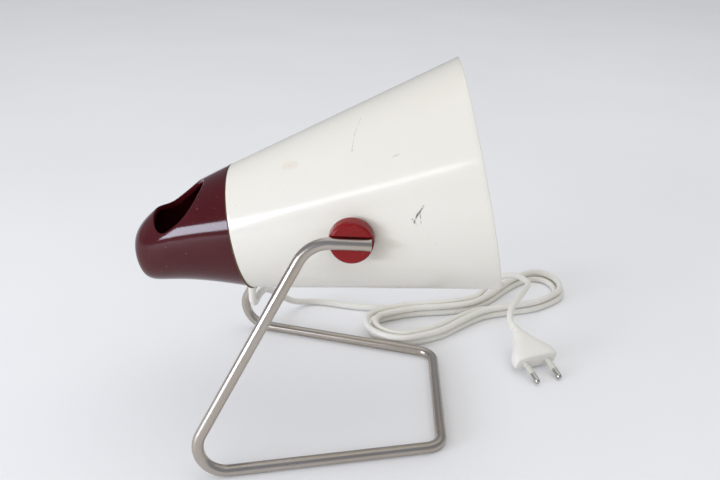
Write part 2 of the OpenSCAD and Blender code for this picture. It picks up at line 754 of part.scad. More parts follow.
// turns +X to the way the pins point
module on_plug() {
  on_floor() translate(plug_face) rotate([0, plug_tilt, plug_heading]) children();
}
// points given along the hank and across it, then placed on the floor
tail_points = [
  to_floor([17, 9.9], 9), to_floor([24, 12.2], 11), to_floor([32, 13.6], 14),
  to_floor([39.5, 12.6], 17), to_floor([45, 8], 19.8), to_floor([47.5, 0], 22),
  to_floor([46, -10], 23.4), to_floor([40, -21], 24.3), [123, 93, 24]
];
tail_start = hank_out + hank_out_dir * cord_d;
tail_end = plug_rear - plug_dir * cord_d;
tail_path = concat([hank_out], spline(concat([tail_start], tail_points, [tail_end]), 2),
  [plug_rear]);

module cord_lead() {
  color("#e4e0d2") on_floor() tube(lead_path, cord_d / 2, 8, [1, 0, 0]);
}
module cord_hank() {
  color("#e4e0d2") on_floor() tube(hank_path, cord_d / 2, 6, [0, 0, 1]);
}
module cord_tail() {
  color("#e4e0d2") on_floor() tube(tail_path, cord_d / 2, 8, [0, 0, 1]);
}
module inner_leads() {
  z = wall_in + 0.4 + gland_flange_t;
  a = [gland_x, 0, gland_tip_z + gland_out + z - pivot_h];
  // from the lamp's upright position at rest into the head's own axes
  c = [a[0] * cos(head_tilt) + a[2] * sin(head_tilt), 0,
    a[2] * cos(head_tilt) - a[0] * sin(head_tilt)];
  xb = (dish_back + web_x) / 2;
  color("#efe9dc") on_head() {
    gland_place() translate([0, 0, z]) cylinder(h = clamp_h + stub_out, r = cord_d / 2);
    for (s = [-1, 1]) let (
      up = clamp_h + stub_out,
      top = c + [sin(head_tilt) * up, 0, cos(head_tilt) * up])
        tube([top + [0, s * 1.2, 0.1], top + [-2.6, s * 1.3, 1.7], [xb, s * 2.5, -24],
          [xb, s * 4, -14], [xb, s * 4.6, -6], [xb + 0.8, s * 5, -2], [xb + 2.5, s * 5, 0],
          [holder_back - 0.4, s * 5, 0], [holder_back + holder_floor - 1, s * 5, 0]],
          0.9, 8, [0, 1, 0]);
  }
}
module plug_body() {
  hw = plug_w / 2;
  ht = plug_t / 2;
  color("#e8e4d6") on_plug() {
    intersection() {
      translate([0, 0, -ht]) linear_extrude(height = plug_t) polygon([
        [0, -hw + 1.5], [-1.5, -hw], [-6, -hw], [-plug_len + 6, -7], [-plug_len, -5.4],
        [-plug_len, 5.4], [-plug_len + 6, 7], [-6, hw], [-1.5, hw], [0, hw - 1.5]
      ]);
      rotate([90, 0, 0]) translate([0, 0, -hw - 1]) linear_extrude(height = plug_w + 2)
        polygon([
          [0, -ht + 1], [-1, -ht], [-8, -ht], [-plug_len, -4.6],
          [-plug_len, 4.6], [-8, ht], [-1, ht], [0, ht - 1]
        ]);
    }
    translate([-plug_len - plug_tail, 0, 0]) axial()
      cylinder(h = plug_tail + 1, r1 = cord_d / 2 + 0.7, r2 = 4.4);
  }
}
module plug_pins() {
  color("#b4b2ae") on_plug() for (s = [-1, 1]) translate([0, s * pin_gap / 2, 0]) {
    translate([sleeve_len, 0, 0]) axial() cylinder(h = pin_len - sleeve_len, r = pin_d / 2);
    axial() cylinder(h = sleeve_len, r = pin_d / 2 - 0.5);
  }
}
module plug_sleeves() {
  color("#d8d2c0") on_plug() for (s = [-1, 1]) translate([0, s * pin_gap / 2, 0])
    axial() difference() {
      cylinder(h = sleeve_len, r = pin_d / 2);
      translate([0, 0, -1]) cylinder(h = sleeve_len + 2, r = pin_d / 2 - 0.5 + 0.02);
    }
}

stand_wire();
knob_left();
knob_right();
pivot_studs();
friction_washers();
stack_washers();
stack_springs();
pivot_nuts();
shade();
pivot_bush_left();
pivot_bush_right();
pivot_plates();
joint_ring();
rear_cap();
cap_screws();
holder_bracket();
holder_screws();
lampholder();
holder_shell();
holder_contact();
bulb_lens();
bulb_reflector();
bulb_base();
bulb_contact();
bulb_filament();
cord_gland();
cord_clamp();
clamp_screws();
inner_leads();
cord_lead();
cord_hank();
cord_tail();
plug_body();
plug_pins();
plug_sleeves();
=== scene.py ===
"""Looks for the table-top infrared heat lamp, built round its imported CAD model.

Lengths in the tables below are millimetres in the part's own frame, and turn into
metres when a mesh is made. The head's pieces are written in the head's own axes:
x along the shade's axis from the pivot, y to the left, z up across the axis.
"""

import json
import math

import bmesh
import bpy
from mathutils import Matrix, Vector
from mathutils.geometry import delaunay_2d_cdt

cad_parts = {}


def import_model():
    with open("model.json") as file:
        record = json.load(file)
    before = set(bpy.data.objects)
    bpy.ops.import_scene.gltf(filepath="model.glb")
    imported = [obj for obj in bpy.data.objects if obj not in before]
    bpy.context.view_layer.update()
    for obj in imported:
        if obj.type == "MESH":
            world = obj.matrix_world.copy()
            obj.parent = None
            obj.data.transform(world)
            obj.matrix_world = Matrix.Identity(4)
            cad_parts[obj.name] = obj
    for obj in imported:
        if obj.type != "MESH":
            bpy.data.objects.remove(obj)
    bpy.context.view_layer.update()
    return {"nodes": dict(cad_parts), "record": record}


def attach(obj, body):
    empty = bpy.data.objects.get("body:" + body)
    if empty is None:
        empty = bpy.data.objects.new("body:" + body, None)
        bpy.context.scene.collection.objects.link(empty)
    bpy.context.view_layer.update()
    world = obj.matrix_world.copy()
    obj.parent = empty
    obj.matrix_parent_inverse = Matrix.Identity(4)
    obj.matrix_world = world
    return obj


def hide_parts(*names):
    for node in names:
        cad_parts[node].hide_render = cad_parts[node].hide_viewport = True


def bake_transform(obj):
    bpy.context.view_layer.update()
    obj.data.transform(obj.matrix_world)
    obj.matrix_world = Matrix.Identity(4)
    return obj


MM = 0.001
TAU = 2 * math.pi
BOX_FACES = [(0, 1, 3, 2), (4, 6, 7, 5), (0, 4, 5, 1), (2, 3, 7, 6), (0, 2, 6, 4),
             (1, 5, 7, 3)]

# ---------------------------------------------------------------- the part's sizes
ORIGIN_X = -23.2555
PIVOT_H = 143.9
HEAD_TILT = math.radians(15.4)

MOUTH_R, JOINT_R, SHADE_LEN, SHADE_T = 71.25, 39.25, 150.0, 1.2
JOINT_TO_PIVOT = 72.3
MOUTH_LEAN, JOINT_LEAN = math.radians(1.4), math.radians(4.0)
RING_T = 0.6
SLOPE = (MOUTH_R - JOINT_R) / SHADE_LEN
MOUTH_X = SHADE_LEN - JOINT_TO_PIVOT

CAP_LEN, CAP_WALL = 70.0, 3.0
CAP_FALL, CAP_RISE, NOSE_DROOP = 0.225, 0.382, 10.7
CAP_MEAN = (CAP_FALL + CAP_RISE) / 2
CAP_TURN = math.radians(11)
NOSE_SHARP, NOSE_ROUND = 12, 6
GRIP_START, GRIP_LEN, GRIP_HALF, GRIP_FRONT = 14.5, 36.0, 19.5, 0.62
GRIP_LIP, GRIP_POINTS = 1.1, 132
# the skin is laid flat at this radius to be cut, and is a plain round grid behind its end
FLAT_R, SKIN_STEP, SKIN_END = 34.0, 1.5, 58.0
INNER_STEP, INNER_END = 2.4, 52.0
WEB_B, WEB_T = 13.9, 2.2
WEB_SLOTS, SLOT_HALF_W, SLOT_HALF_H = (-14, -7, 0, 7, 14), 8, 1
DISH_BACK, CAP_SCREW_Y = -77.6, 22.2
POST_R, SCREW_BORE_R = 4.4, 1.8

KNOB_FACE_R, KNOB_BASE_R, KNOB_H = 11.8, 12.85, 8.0
KNOB_BASE_Y = JOINT_R + SLOPE * (KNOB_BASE_R + JOINT_TO_PIVOT) + 0.35
STAND_Y = KNOB_BASE_Y + KNOB_H
STUD_R = 3.0
SEAT, SLOT_UNDER, SLOT_OVER = 0.05, 0.4, 1.0
PIVOT_HOLE_R = 7.4

WIRE_R = 3.5
WIRE_CORNERS = [
    (11.3, STAND_Y, 143.9), (-23.2, STAND_Y, 143.9), (-97.3, 93.4, 3.5),
    (60.0, 55.1, 3.5), (60.0, -55.1, 3.5), (-97.3, -93.4, 3.5),
    (-23.2, -STAND_Y, 143.9), (11.3, -STAND_Y, 143.9),
]
WIRE_BENDS = [0, 20, 18, 12, 12, 18, 20, 0]

CORD_D = 5.0
HANK_HALF, HANK_FOLD, HANK_STEP, HANK_RISE = 100.0, 26.0, 6.8, 5.7
HANK_WAIST, HANK_BOW, HANK_SWING = 13.0, 7.0, 10.0
HANK_TURNS, HANK_DIR, HANK_FIRST, HANK_STEPS = 3, math.radians(31), -1, 24
HANK_CENTRE = (97.0, 131.0)
LEAD_SHAPE = [
    (-65.6, 0, 82.3), (-65.6, 0, 79.8), (-65.6, 0, 77.4), (-65.6, 0.35, 75),
    (-65.6, 1.4, 72.2), (-65.5, 3.6, 69.3), (-65.4, 7.1, 66.9), (-65.2, 11.5, 66),
    (-64.8, 18.5, 65.6), (-64, 28, 63.8), (-63, 40, 60), (-61.6, 55, 51.8),
    (-59.8, 70, 42.2), (-57.2, 86, 31.4), (-54.4, 101, 20.6), (-51.2, 114, 11.8),
    (-46.6, 124, 6), (-39.5, 130, 3.2), (-30, 131.4, 2.6), (-17, 129, 2.6),
    (-3, 126, 2.6), (13, 124.6, 2.6), (29, 125, 2.6), (45, 128.1, 2.55),
]
TAIL_ALONG_HANK = [
    (17, 9.9, 9), (24, 12.2, 11), (32, 13.6, 14), (39.5, 12.6, 17), (45, 8, 19.8),
    (47.5, 0, 22), (46, -10, 23.4), (40, -21, 24.3),
]
TAIL_LAST = (123, 93, 24)

PLUG_W, PLUG_T, PLUG_LEN, PLUG_TAIL = 35.0, 13.7, 27.0, 8.0
PIN_R, PIN_LEN, PIN_GAP, SLEEVE_LEN = 2.0, 19.0, 18.6, 10.0
PLUG_TILT, PLUG_HEADING = math.radians(18), math.radians(-66)
PIN_TIP = (143.0, 26.0)

# ---------------------------------------------------------------- camera and light: values
CAMERA = (34.003, -464.513, 320.479)
YAW, PITCH, ROLL = -0.015, 0.411, 0.032
LENS, SENSOR = 40.0, 36.0
FRAME_W, FRAME_H = 720, 480
FOCAL_PX = LENS / SENSOR * FRAME_W

# the room's colour and strength: as light, in reflections, and behind the object
ROOM_LIGHT = ((0.97, 0.98, 1.0), 0.62)
ROOM_MIRRORED = ((0.80, 0.86, 1.0), 0.34)
ROOM_SEEN = ((0.745, 0.745, 0.785), 1.0)

# strips of window light, in metres: from, to, aimed at, width, watts, colour
STRIPS = {
    "window": ((-1.15, -1.1, 0.42), (-0.70, -1.28, 0.80), (0.02, -0.05, 0.17),
               0.13, 1.0, (0.95, 0.97, 1.0)),
    "window_edge": ((-1.15, -1.1, 0.43), (-0.70, -1.28, 0.81), (0.02, -0.05, 0.17),
                    0.03, 0.28, (1.0, 1.0, 0.98)),
    "window_side": ((-1.46, -0.56, 0.33), (-1.12, -1.14, 0.37), (-0.07, -0.03, 0.13),
                    0.32, 11.0, (0.80, 0.85, 1.0)),
}
FLOOR_HALF = 4.0

# ---------------------------------------------------------------- marks on the shade
# from and to in pixels of the frame, half width and soft edge in metres, strength, colour
DARK, BROWN = (0.10, 0.09, 0.08), (0.62, 0.50, 0.36)
MARKS = {
    "scuff_stroke": ((414, 223), (418, 213), 0.00022, 0.0004, 0.85, DARK),
    "scuff_top": ((417, 216), (424, 206), 0.00026, 0.0004, 0.9, DARK),
    "scuff_tail": ((420, 211), (421, 224), 0.00016, 0.0003, 0.7, DARK),
    "scuff_foot": ((412, 219), (416, 224), 0.00018, 0.0003, 0.6, DARK),
    "hair_line_low": ((352, 151), (355, 133), 0.00012, 0.0003, 0.6, DARK),
    "hair_line_high": ((355, 133), (361, 118), 0.00010, 0.0003, 0.55, DARK),
    "smudge": ((286, 166), (294, 165), 0.0009, 0.0022, 0.45, BROWN),
    "stain_at_joint": ((228, 236), (243, 284), 0.0006, 0.0012, 0.12, BROWN),
    "nick": ((392, 157), (399, 154), 0.0002, 0.0004, 0.3, DARK),
}


# ---------------------------------------------------------------- small helpers
def row(p):
    """From the pivot's x frame to the row frame, both in millimetres."""
    return Vector((p[0] - ORIGIN_X, p[1], p[2]))


def head(p):
    """From the head's own axes to the row frame, both in millimetres."""
    c, s = math.cos(HEAD_TILT), math.sin(HEAD_TILT)
    return Vector((p[0] * c - p[2] * s - ORIGIN_X, p[1], PIVOT_H + p[0] * s + p[2] * c))


def lerp(a, b, t):
    return a + (b - a) * t


def add_mesh(name, verts, faces, smooth=True):
    """An object in metres from points in millimetres of the row frame."""
    mesh = bpy.data.meshes.new(name)
    mesh.from_pydata([tuple(Vector(v) * MM) for v in verts], [], faces)
    mesh.update()
    obj = bpy.data.objects.new(name, mesh)
    bpy.context.scene.collection.objects.link(obj)
    if smooth:
        for poly in mesh.polygons:
            poly.use_smooth = True
    return obj


def tidy_mesh(obj, merge=0.00002, outward=True):
    """Joins doubled points and turns every face the same way out."""
    bm = bmesh.new()
    bm.from_mesh(obj.data)
    bmesh.ops.remove_doubles(bm, verts=bm.verts, dist=merge)
    if outward:
        bmesh.ops.recalc_face_normals(bm, faces=bm.faces)
    bm.to_mesh(obj.data)
    bm.free()
    return obj


def sharpen(obj, degrees=32):
    """Smooth faces with hard edges only where the surface really turns."""
    bm = bmesh.new()
    bm.from_mesh(obj.data)
    limit = math.radians(degrees)
    for edge in bm.edges:
        edge.smooth = len(edge.link_faces) != 2 or edge.calc_face_angle(0) < limit
    for face in bm.faces:
        face.smooth = True
    bm.to_mesh(obj.data)
    bm.free()
    return obj


def bake_modifiers(obj):
    """Keeps what the modifiers make as the object's own mesh."""
    dg = bpy.context.evaluated_depsgraph_get()
    made = bpy.data.meshes.new_from_object(obj.evaluated_get(dg))
    obj.modifiers.clear()
    obj.data = made
    return obj


def cut(obj, *tools):
    """Takes the tools away from the object."""
    for tool in tools:
        mod = obj.modifiers.new("cut", "BOOLEAN")
        mod.operation = "DIFFERENCE"
        mod.solver = "EXACT"
        mod.object = tool
    bake_modifiers(obj)
    for tool in tools:
        bpy.data.objects.remove(tool)
    return obj


def grid_faces(rows, cols, wrap=True, base=0):
    """Quads between rows of points, each row round a ring."""
    out = []
    last = cols if wrap else cols - 1
    for i in range(rows - 1):
        for k in range(last):
            j = (k + 1) % cols
            a = base + i * cols
            b = a + cols
            out.append((a + k, a + j, b + j, b + k))
    return out


def lathe(profile, place, sides=72, name="turned"):
    """Turns (distance along, radius) points about the X axis of place."""
    verts, faces = [], []
    for x, r in profile:
        for k in range(sides):
            a = TAU * k / sides
            verts.append(place((x, r * math.cos(a), r * math.sin(a))))
    faces += grid_faces(len(profile), sides)
    for at, way in ((0, -1), (len(profile) - 1, 1)):
        if profile[at][1] > 1e-6:
            ring = [at * sides + k for k in range(sides)]
            faces.append(tuple(ring[::way]))
    return tidy_mesh(add_mesh(name, verts, faces))


def catmull(points, parts):
    """A smooth run through the points, with so many parts to a span."""
    out = []
    pts = [Vector(p) for p in points]
    for i in range(len(pts) - 1):
        a, b = pts[max(i - 1, 0)], pts[i]
        c, d = pts[i + 1], pts[min(i + 2, len(pts) - 1)]
        for k in range(parts):
            t = k / parts
            out.append(0.5 * (2 * b + (c - a) * t + (2 * a - 5 * b + 4 * c - d) * t * t
                              + (3 * b - a - 3 * c + d) * t ** 3))
    out.append(pts[-1])
    return out


def sweep(name, path, radius, sides, up=Vector((0, 0, 1)), round_end=0.0):
    """A tube along path without twist."""
    n = len(path)
    tangents = []
    for i in range(n):
        a = path[i] - path[i - 1] if i else path[1] - path[0]
        b = path[i + 1] - path[i] if i < n - 1 else path[-1] - path[-2]
        tangents.append((a.normalized() + b.normalized()).normalized())
    side = (up - tangents[0] * up.dot(tangents[0])).normalized()
    verts = []
    rings = [(path[i], tangents[i], radius) for i in range(n)]
    if round_end > 0:
        first, last = rings[0], rings[-1]
        rings[0] = (first[0] + first[1] * round_end, first[1], radius)
        rings.insert(0, (first[0] + first[1] * round_end * 0.3, first[1],
                         radius - round_end * 0.3))
        rings.insert(0, (first[0], first[1], radius - round_end))
        rings[-1] = (last[0] - last[1] * round_end, last[1], radius)
        rings.append((last[0] - last[1] * round_end * 0.3, last[1],
                      radius - round_end * 0.3))
        rings.append((last[0], last[1], radius - round_end))
    for centre, tangent, r in rings:
        side = (side - tangent * side.dot(tangent)).normalized()
        other = tangent.cross(side)
        for k in range(sides):
            a = TAU * k / sides
            verts.append(centre + (side * math.cos(a) + other * math.sin(a)) * r)
    faces = grid_faces(len(rings), sides)
    faces.append(tuple(reversed(range(sides))))
    faces.append(tuple((len(rings) - 1) * sides + k for k in range(sides)))
    return sharpen(add_mesh(name, verts, faces), 40)


# ---------------------------------------------------------------- camera and light: objects
def make_camera():
    c, s = math.cos, math.sin
    ahead = Vector((s(YAW) * c(PITCH), c(YAW) * c(PITCH), -s(PITCH)))
    right = Vector((c(YAW), -s(YAW), 0))
    up = right.cross(ahead)
    r2 = right * c(ROLL) + up * s(ROLL)
    u2 = up * c(ROLL) - right * s(ROLL)
    data = bpy.data.cameras.new("camera")
    data.lens, data.sensor_width = LENS, SENSOR
    data.clip_start, data.clip_end = 0.01, 50
    cam = bpy.data.objects.new("camera", data)
    bpy.context.scene.collection.objects.link(cam)
    m = Matrix((r2, u2, -ahead)).transposed().to_4x4()
    m.translation = Vector(CAMERA) * MM
    cam.matrix_world = m
    bpy.context.scene.camera = cam


def area_light(name, place, aim, size, watts, colour):
    data = bpy.data.lights.new(name, "AREA")
    data.shape = "RECTANGLE"
    data.size, data.size_y = size
    data.energy = watts
    data.color = colour
    data.spread = math.pi
    lamp = bpy.data.objects.new(name, data)
    lamp.location = place
    lamp.rotation_euler = (Vector(aim) - Vector(place)).to_track_quat("-Z", "Y").to_euler()
    bpy.context.scene.collection.objects.link(lamp)
    return lamp


def strip_light(name, one, two, aim, width, watts, colour):
    """A long narrow light from one point to another that faces the object."""
    one, two, aim = Vector(one), Vector(two), Vector(aim)
    middle = (one + two) / 2
    long_way = (two - one).normalized()
    out = (middle - aim).normalized()
    out = (out - long_way * out.dot(long_way)).normalized()
    lamp = area_light(name, middle, aim, ((two - one).length, width), watts, colour)
    m = Matrix((long_way, out.cross(long_way), out)).transposed().to_4x4()
    m.translation = middle
    lamp.rotation_mode = "QUATERNION"
    lamp.matrix_world = m
    return lamp


def make_world():
    """Soft light all round, darker where glossy surfaces mirror it, pale to the camera."""
    world = bpy.data.worlds.new("room")
    world.use_nodes = True
    nodes, links = world.node_tree.nodes, world.node_tree.links
    nodes.clear()
    out = nodes.new("ShaderNodeOutputWorld")
    path = nodes.new("ShaderNodeLightPath")
    shades = []
    for colour, strength in (ROOM_LIGHT, ROOM_MIRRORED, ROOM_SEEN):
        node = nodes.new("ShaderNodeBackground")
        node.inputs[0].default_value = (*colour, 1)
        node.inputs[1].default_value = strength
        shades.append(node.outputs[0])
    last = shades[0]
    for ray, shade in (("Is Glossy Ray", shades[1]), ("Is Camera Ray", shades[2])):
        mix = nodes.new("ShaderNodeMixShader")
        links.new(path.outputs[ray], mix.inputs[0])
        links.new(last, mix.inputs[1])
        links.new(shade, mix.inputs[2])
        last = mix.outputs[0]
    links.new(last, out.inputs[0])
    bpy.context.scene.world = world


def make_lights():
    make_world()
    area_light("ceiling", (0.3, 0.5, 2.0), (0.0, 0.0, 0.1), (2.4, 2.4), 9.0, (1, 0.99, 0.97))
    side = area_light("side_fill", (-1.5, -2.0, 1.3), (0.0, 0.0, 0.12), (1.8, 1.4), 9.5,
                      (0.98, 0.99, 1.0))
    side.visible_glossy = False
    for name, strip in STRIPS.items():
        strip_light(name, *strip)


def make_floor():
    mesh = bpy.data.meshes.new("floor")
    s = FLOOR_HALF
    mesh.from_pydata([(-s, -s, 0), (s, -s, 0), (s, s, 0), (-s, s, 0)], [], [(0, 1, 2, 3)])
    floor = bpy.data.objects.new("floor", mesh)
    bpy.context.scene.collection.objects.link(floor)
    mat = bpy.data.materials.new("table_white")
    mat.use_nodes = True
    n = Nodes(mat)
    n.set("Roughness", 0.55)
    n.set("Specular IOR Level", 0.25)
    spots = n.noise(scale=3.0, detail=3)
    ramp = n.ramp(spots, [(0.35, (0.79, 0.793, 0.81)), (0.7, (0.82, 0.823, 0.84))])
    seen = n.ramp(spots, [(0.35, (0.94, 0.94, 0.955)), (0.7, (0.97, 0.97, 0.98))])
    rays = n.n.new("ShaderNodeLightPath").outputs["Is Camera Ray"]
    n.link(n.mix(rays, ramp, seen), "Base Color")
    mesh.materials.append(mat)


# ---------------------------------------------------------------- materials
class Nodes:
    """Short ways to wire the nodes of one material."""

    def __init__(self, mat):
        self.tree = mat.node_tree
        self.n = self.tree.nodes
        self.bsdf = self.n.get("Principled BSDF")
        self.coord = self.n.new("ShaderNodeTexCoord").outputs["Object"]

    def set(self, name, value):
        self.bsdf.inputs[name].default_value = value

    def link(self, out, name):
        self.tree.links.new(out, self.bsdf.inputs[name] if isinstance(name, str) else name)

    def scaled(self, scale=(1, 1, 1), rot=(0, 0, 0), loc=(0, 0, 0)):
        node = self.n.new("ShaderNodeMapping")
        node.inputs["Scale"].default_value = scale
        node.inputs["Rotation"].default_value = rot
        node.inputs["Location"].default_value = loc
        self.link(self.coord, node.inputs[0])
        return node.outputs[0]

    def noise(self, scale, detail=4, rough=0.55, vector=None, distort=0.0):
        node = self.n.new("ShaderNodeTexNoise")
        node.inputs["Scale"].default_value = scale
        node.inputs["Detail"].default_value = detail
        node.inputs["Roughness"].default_value = rough
        node.inputs["Distortion"].default_value = distort
        self.link(vector or self.coord, node.inputs["Vector"])
        return node.outputs["Fac"]

    def ramp(self, value, stops):
        node = self.n.new("ShaderNodeValToRGB")
        marks = node.color_ramp.elements
        while len(marks) < len(stops):
            marks.new(0.5)
        for mark, (at, colour) in zip(marks, stops):
            mark.position = at
            mark.color = (*colour, 1) if hasattr(colour, "__len__") else (colour,) * 3 + (1,)
        self.link(value, node.inputs[0])
        return node.outputs[0]

    def math(self, op, a, b=0.0, clamp=False):
        node = self.n.new("ShaderNodeMath")
        node.operation = op
        node.use_clamp = clamp
        for value, socket in ((a, node.inputs[0]), (b, node.inputs[1])):
            if isinstance(value, (int, float)):
                socket.default_value = value
            else:
                self.link(value, socket)
        return node.outputs[0]

    def mix(self, fac, a, b):
        node = self.n.new("ShaderNodeMix")
        node.data_type = "RGBA"
        for value, socket in ((fac, node.inputs[0]), (a, node.inputs[6]), (b, node.inputs[7])):
            if isinstance(value, (int, float)):
                socket.default_value = value
            elif isinstance(value, tuple):
                socket.default_value = (*value, 1)
            else:
                self.link(value, socket)
        return node.outputs[2]

    def bump(self, height, strength=0.1, distance=0.0005, normal=None):
        node = self.n.new("ShaderNodeBump")
        node.inputs["Strength"].default_value = strength
        node.inputs["Distance"].default_value = distance
        self.link(height, node.inputs["Height"])
        if normal is not None:
            self.link(normal, node.inputs["Normal"])
        return node.outputs[0]

    def near_line(self, a, b, width, soft):
        """1 on the line between two points in metres, 0 beyond width + soft."""
        a, b = Vector(a), Vector(b)
        sub = self.n.new("ShaderNodeVectorMath")
        sub.operation = "SUBTRACT"
        self.link(self.coord, sub.inputs[0])
        sub.inputs[1].default_value = a
        dot = self.n.new("ShaderNodeVectorMath")
        dot.operation = "DOT_PRODUCT"
        self.link(sub.outputs[0], dot.inputs[0])
        dot.inputs[1].default_value = (b - a) / (b - a).length_squared
        t = self.math("ADD", dot.outputs["Value"], 0.0, clamp=True)
        scale = self.n.new("ShaderNodeVectorMath")
        scale.operation = "SCALE"
        scale.inputs[0].default_value = b - a
        self.link(t, scale.inputs["Scale"])
        away = self.n.new("ShaderNodeVectorMath")
        away.operation = "DISTANCE"
        self.link(sub.outputs[0], away.inputs[0])
        self.link(scale.outputs[0], away.inputs[1])
        reach = self.n.new("ShaderNodeMapRange")
        reach.inputs["From Min"].default_value = width
        reach.inputs["From Max"].default_value = width + soft
        reach.inputs["To Min"].default_value = 1.0
        reach.inputs["To Max"].default_value = 0.0
        self.link(away.outputs["Value"], reach.inputs["Value"])
        return reach.outputs["Result"]


def material(name):
    mat = bpy.data.materials.new("look_" + name)
    mat.use_nodes = True
    return mat, Nodes(mat)


def enamel(name, colour, dirty, marks=()):
    """Stove enamel: glossy, faintly wavy, slightly yellowed, with small scratches."""
    mat, n = material(name)
    patch = n.ramp(n.noise(9, 4), [(0.35, 0.0), (0.75, 1.0)])
    tone = n.mix(n.math("MULTIPLY", patch, 0.35), colour, dirty)
    fleck = n.ramp(n.noise(420, 2, 0.4), [(0.75, 0.0), (0.775, 1.0)])
    tone = n.mix(n.math("MULTIPLY", fleck, 0.12), tone, (0.30, 0.24, 0.17))
    wear = None
    for a, b, width, soft, strength, stain in marks:
        line = n.math("MULTIPLY", n.near_line(a, b, width, soft), strength)
        broken = n.ramp(n.noise(900, 3), [(0.38, 0.0), (0.55, 1.0)])
        line = n.math("MULTIPLY", line, broken)
        tone = n.mix(line, tone, stain)
        wear = line if wear is None else n.math("MAXIMUM", wear, line)
    n.link(tone, "Base Color")
    rough = n.ramp(n.noise(60, 5, 0.6), [(0.3, 0.13), (0.75, 0.22)])
    if wear is not None:
        rough = n.math("ADD", rough, n.math("MULTIPLY", wear, 0.4))
    n.link(rough, "Roughness")
    n.set("Specular IOR Level", 0.5)
    n.set("Coat Weight", 0.2)
    n.set("Coat Roughness", 0.08)
    wavy = n.bump(n.noise(45, 2, 0.5), 0.05, 0.0006)
    peel = n.bump(n.noise(700, 2, 0.5), 0.05, 0.00012, wavy)
    n.link(peel, "Normal")
    return mat


def moulded(name, colour, dark, rough=(0.08, 0.16), grain=0.04, coat=0.3,
            wear=(0.5, 0.5, 0.5), shine=0.5):
    """Moulded plastic: gloss with fine rubbing marks and a little dust."""
    mat, n = material(name)
    swirl = n.noise(14, 5, 0.6, distort=0.6)
    tone = n.mix(n.ramp(swirl, [(0.3, 0.0), (0.8, 1.0)]), colour, dark)
    dust = n.ramp(n.noise(650, 2, 0.4), [(0.72, 0.0), (0.76, 1.0)])
    tone = n.mix(n.math("MULTIPLY", dust, 0.18), tone, wear)
    n.link(tone, "Base Color")
    rub = n.noise(1.0, 5, 0.6, n.scaled((60, 60, 260), (0.4, 0.9, 0.2)))
    n.link(n.ramp(rub, [(0.3, rough[0]), (0.75, rough[1])]), "Roughness")
    n.set("Specular IOR Level", shine)
    n.set("Coat Weight", coat)
    n.set("Coat Roughness", 0.04)
    fine = n.bump(n.noise(260, 3), grain, 0.0002)
    n.link(fine, "Normal")
    return mat


def metal(name, colour, tarnish, rough, amount=0.35):
    """Plated or bare metal with fine grain, pits and light tarnish."""
    mat, n = material(name)
    n.set("Metallic", 1.0)
    cloud = n.ramp(n.noise(38, 5, 0.65), [(0.42, 0.0), (0.78, 1.0)])
    tone = n.mix(n.math("MULTIPLY", cloud, amount), colour, tarnish)
    pits = n.ramp(n.noise(1300, 2), [(0.7, 0.0), (0.76, 1.0)])
    tone = n.mix(n.math("MULTIPLY", pits, 0.35), tone, tarnish)
    n.link(tone, "Base Color")
    grain = n.noise(500, 3)
    n.link(n.ramp(grain, [(0.3, rough[0]), (0.75, rough[1])]), "Roughness")
    n.link(n.bump(grain, 0.06, 0.00008), "Normal")
    return mat


def plated_wire(name):
    """Satin nickel over wire: fine grain and dark specks, brownish where handled."""
    mat, n = material(name)
    n.set("Metallic", 1.0)
    cloud = n.ramp(n.noise(16, 4, 0.6), [(0.38, 0.0), (0.72, 1.0)])
    tone = n.mix(n.math("MULTIPLY", cloud, 0.55), (0.60, 0.545, 0.485), (0.52, 0.44, 0.34))
    fine = n.noise(260, 3)
    speck = n.ramp(n.noise(900, 2), [(0.70, 0.0), (0.76, 1.0)])
    tone = n.mix(n.math("MULTIPLY", speck, 0.3), tone, (0.16, 0.13, 0.10))
    n.link(tone, "Base Color")
    n.link(n.ramp(fine, [(0.3, 0.27), (0.75, 0.33)]), "Roughness")
    n.link(n.bump(fine, 0.02, 0.00006), "Normal")
    return mat


def soft_vinyl(name, colour, dirty, rough=(0.38, 0.5)):
    """Flexible cord sheath: satin, handled, with faint grey smears along it."""
    mat, n = material(name)
    smear = n.ramp(n.noise(30, 5, 0.65), [(0.4, 0.0), (0.8, 1.0)])
    speck = n.ramp(n.noise(520, 2), [(0.68, 0.0), (0.74, 1.0)])
    tone = n.mix(n.math("MULTIPLY", smear, 0.55), colour, dirty)
    tone = n.mix(n.math("MULTIPLY", speck, 0.3), tone, (0.36, 0.33, 0.28))
    n.link(tone, "Base Color")
    n.link(n.ramp(n.noise(90, 4), [(0.3, rough[0]), (0.7, rough[1])]), "Roughness")
    n.set("Subsurface Weight", 0.06)
    n.set("Subsurface Scale", 0.002)
    n.set("Coat Weight", 0.08)
    n.set("Coat Roughness", 0.3)
    n.link(n.bump(n.noise(340, 3), 0.08, 0.0002), "Normal")
    return mat


def lens_glass(name):
    """Red stained pressed glass with a fine stipple on its inside."""
    mat, n = material(name)
    cell = n.n.new("ShaderNodeTexVoronoi")
    cell.inputs["Scale"].default_value = 260
    n.link(n.coord, cell.inputs["Vector"])
    stain = n.ramp(n.noise(22, 3), [(0.3, (0.42, 0.012, 0.02)), (0.8, (0.33, 0.006, 0.014))])
    n.link(stain, "Base Color")
    n.set("Roughness", 0.12)
    n.set("Transmission Weight", 0.45)
    n.set("IOR", 1.5)
    n.set("Coat Weight", 0.5)
    n.set("Coat Roughness", 0.03)
    n.link(n.bump(cell.outputs["Distance"], 0.25, 0.0006), "Normal")
    return mat


